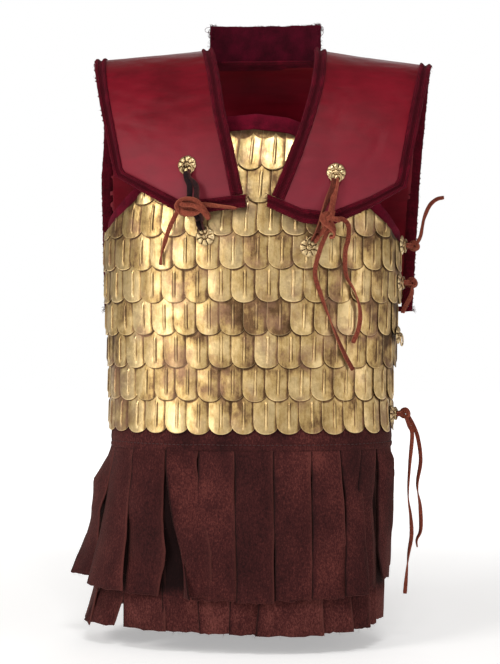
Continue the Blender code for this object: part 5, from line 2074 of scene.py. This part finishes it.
# The two strands of each chest tie, on their way through the knot
CHEST_STRANDS = {
    "right": (
        [(-0.0850, -0.1900, 0.0300), (-0.0845, -0.2080, 0.0335), (-0.0810, -0.2200, 0.0330),
         (-0.0745, -0.2300, 0.0280)],
        [(-0.0765, -0.1900, 0.0300), (-0.0755, -0.2080, 0.0335), (-0.0740, -0.2200, 0.0330),
         (-0.0690, -0.2300, 0.0280)],
    ),
    "left": (
        [(0.0925, -0.2080, 0.0300), (0.0870, -0.2230, 0.0330), (0.0840, -0.2350, 0.0320),
         (0.0800, -0.2480, 0.0250)],
        [(0.1000, -0.2080, 0.0305), (0.0975, -0.2230, 0.0350), (0.0935, -0.2370, 0.0340),
         (0.0850, -0.2500, 0.0250)],
    ),
}


def fittings(thong, dark_thong, cream):
    """The chest rosettes with their rings, and the ties knotted between them."""
    matrices = {}
    for row in CHEST_ROSETTES:
        if row.name.startswith("upper"):
            spot, outward = on_yoke(row.x, row.height, LEATHER / 2 + SEAT_GAP)
            matrices[row.name] = facing(spot, outward, Vector((0, 0, 1)))
        else:
            matrices[row.name] = seat(around_of(row.x, row.height), row.height)
    dice = random.Random(5)
    for side in ("right", "left"):
        knot_spot = chest_point(CHEST_KNOTS[side])
        ends = []
        for name in ("upper", "lower"):
            matrix = matrices["%s_%s" % (name, side)]
            pull = (matrix.inverted() @ knot_spot).xy.normalized()
            form = Form()
            disc(form, matrix, len(side) + len(name))
            staple(form, matrix, pull, RING_LIFT - 0.0012)
            laid_ring(form, matrix, pull, dice)
            form.place("flower_%s_%s" % (name, side), cream, ["rosette_%s_%s" % (name, side)], smooth=50)
            ends.append((matrix, pull, 1 if name == "upper" else -1))
        form = Form()
        strands = Form()
        for number, rows in enumerate(CHEST_STRANDS[side]):
            waist = [chest_point(OnBody(*row)) for row in rows]
            lateral = (-0.0040, 0.0040)[number]
            doubled(strands, *ends, waist, lateral, CHEST_STRAND, number + 1, 0.2 + 0.35 * number)
        for number, wrap in enumerate(CHEST_WRAPS[side]):
            route = smooth_route([chest_point(OnBody(*row)) for row in wrap.rows], 0.0016)
            form.ribbon(
                route, wrap.width, wrap.thickness, lambda part, w=wrap: w.twist * math.sin(part * 5),
                0.45 + 0.1 * number, Vector((0, -1, 0)), rough=0.04, seed=number,
            )
        fuzz(form, dice, 60)
        form.place("knot_" + side, thong, ["chest_tie_" + side])
        strands.place("strands_" + side, dark_thong if side == "right" else thong)


def fuzz(form, dice, count):
    """Short fibres on a suede knot."""
    total = len(form.points)
    middle = sum((form.points[dice.randrange(total)] for _ in range(60)), Vector()) / 60
    for _ in range(count):
        spot = form.points[dice.randrange(total)].copy()
        way = (spot - middle).normalized()
        lean = Vector((dice.uniform(-0.5, 0.5), dice.uniform(-0.5, 0.5), dice.uniform(-0.5, 0.5)))
        hair(form, spot, (way + lean).normalized(), dice.uniform(0.0012, 0.0026), dice)


def side_ties(thong, cream):
    dice = random.Random(11)
    for number, height in enumerate(SIDE_HEIGHTS):
        front, back = seat(SIDE_FRONT, height), seat(SIDE_BACK, height)
        name = "side_%d" % (number + 1)
        empty = number == EMPTY
        for label, matrix, pull in (("front", front, (1, 0)), ("back", back, (-1, 0))):
            form = Form()
            disc(form, matrix, number + len(label))
            if empty:
                staple(form, matrix, (0, -1), RING_AXIS - 0.0022)
            else:
                staple(form, matrix, pull, RING_LIFT - 0.0012)
                laid_ring(form, matrix, pull, dice)
            form.place("flower_%s_%s" % (label, name), cream, ["rosette_%s_%s" % (label, name)], smooth=50)
        if empty:
            form = Form()
            hang = Matrix.Translation((0, -RING_RADIUS, RING_AXIS))
            form.ring(front @ hang, RING_RADIUS, RING_WIRE, 48, 12, 0.7)
            form.place("swinging_ring", cream, ["empty_ring"], body="ring")
            continue
        start, end = ring_end(front, (1, 0)), ring_end(back, (-1, 0))
        middle = (start + end) / 2 + Vector((SIDE_BULGE, 0, 0))
        form = Form()
        for strand, lift in enumerate((-0.0022, 0.0022)):
            waist = [middle + Vector((0.0005, 0, lift))]
            ends = (front, (1, 0), 1), (back, (-1, 0), -1)
            doubled(form, *ends, waist, lift, SIDE_STRAND, number * 2 + strand, 0.5)
        axis = (end - start).normalized()
        wraps(form, middle, axis, number, dice)
        fuzz(form, dice, 40)
        form.place("side_knot_%d" % (number + 1), thong, ["tie_" + name])


def wraps(form, middle, axis, number, dice):
    """The turns of a side knot round its strands."""
    first = Vector((1, 0, 0))
    first = (first - axis * first.dot(axis)).normalized()
    second = axis.cross(first)
    for turn_number, shift in enumerate((-0.0032, 0.0030, 0.0)):
        route = []
        begin = dice.uniform(0, 6.28)
        size = 0.0042 + 0.0010 * turn_number
        for step in range(22):
            turn = begin + 2 * math.pi * 1.08 * step / 21
            slant = 0.0022 * math.sin(turn + turn_number * 2.1)
            route.append(
                middle
                + axis * (shift + slant)
                + (first * math.cos(turn) + second * math.sin(turn)) * (size + 0.0004 * math.sin(turn * 3))
            )
        form.ribbon(
            route, 0.0058, 0.0024, None, 0.45 + 0.12 * turn_number, route[0] - middle, rough=0.05,
            seed=number + turn_number,
        )


# Brass: where it is rubbed, between, and tarnished
BRASS_COLOURS = {
    "aged_brass": ((0.76, 0.565, 0.285), (0.47, 0.315, 0.125), (0.17, 0.094, 0.045)),
    "pale_brass": ((0.60, 0.45, 0.25), (0.42, 0.30, 0.15), (0.07, 0.035, 0.018)),
}
# Wool: dark and light
WOOL_COLOURS = {
    "wool_felt": ((0.018, 0.0008, 0.0032), (0.060, 0.0018, 0.009)),
    "wool_band": ((0.040, 0.0010, 0.0050), (0.115, 0.0024, 0.0130)),
    "woven_wool": ((0.030, 0.0008, 0.0032), (0.155, 0.0030, 0.0150)),
}
# Suede: dark, between, light, and its cut edge
SUEDE_COLOURS = {
    "brown_suede": (
        (0.013, 0.0032, 0.0034), (0.042, 0.0090, 0.0088), (0.125, 0.031, 0.025), (0.12, 0.034, 0.028),
    ),
    # The lower layer: a copy of the same suede with painted light, a little lighter
    "under_suede": (
        (0.016, 0.0038, 0.0040), (0.055, 0.0120, 0.0110), (0.160, 0.046, 0.037), (0.13, 0.040, 0.032),
    ),
    "thong_suede": (
        (0.060, 0.014, 0.009), (0.170, 0.036, 0.021), (0.300, 0.080, 0.045), (0.30, 0.09, 0.05),
    ),
    "dark_thong": (
        (0.008, 0.005, 0.007), (0.026, 0.009, 0.009), (0.075, 0.022, 0.018), (0.10, 0.03, 0.025),
    ),
}
THREAD_COLOUR = (0.030, 0.009, 0.008)


def build():
    make_camera()
    make_lights()
    make_floor()
    brass = brass_look("aged_brass", *BRASS_COLOURS["aged_brass"], rows=True)
    cream = brass_look("pale_brass", *BRASS_COLOURS["pale_brass"])
    felt = felt_look("wool_felt", *WOOL_COLOURS["wool_felt"])
    band = felt_look("wool_band", *WOOL_COLOURS["wool_band"])
    woven = woven_look("woven_wool", *WOOL_COLOURS["woven_wool"])
    leather = leather_look("dyed_leather")
    suede, shaded, thong, dark_thong = (suede_look(name, *row) for name, row in SUEDE_COLOURS.items())
    thread = plain_look("waxed_thread", THREAD_COLOUR, 0.7)
    scales(brass)
    panels(felt)
    bands(band)
    guard(felt)
    yoke_leather(leather)
    bindings(woven)
    waistbands(suede)
    stitches(thread)
    skirts(suede, shaded)
    fittings(thong, dark_thong, cream)
    side_ties(thong, cream)
    cords(thong)


build()
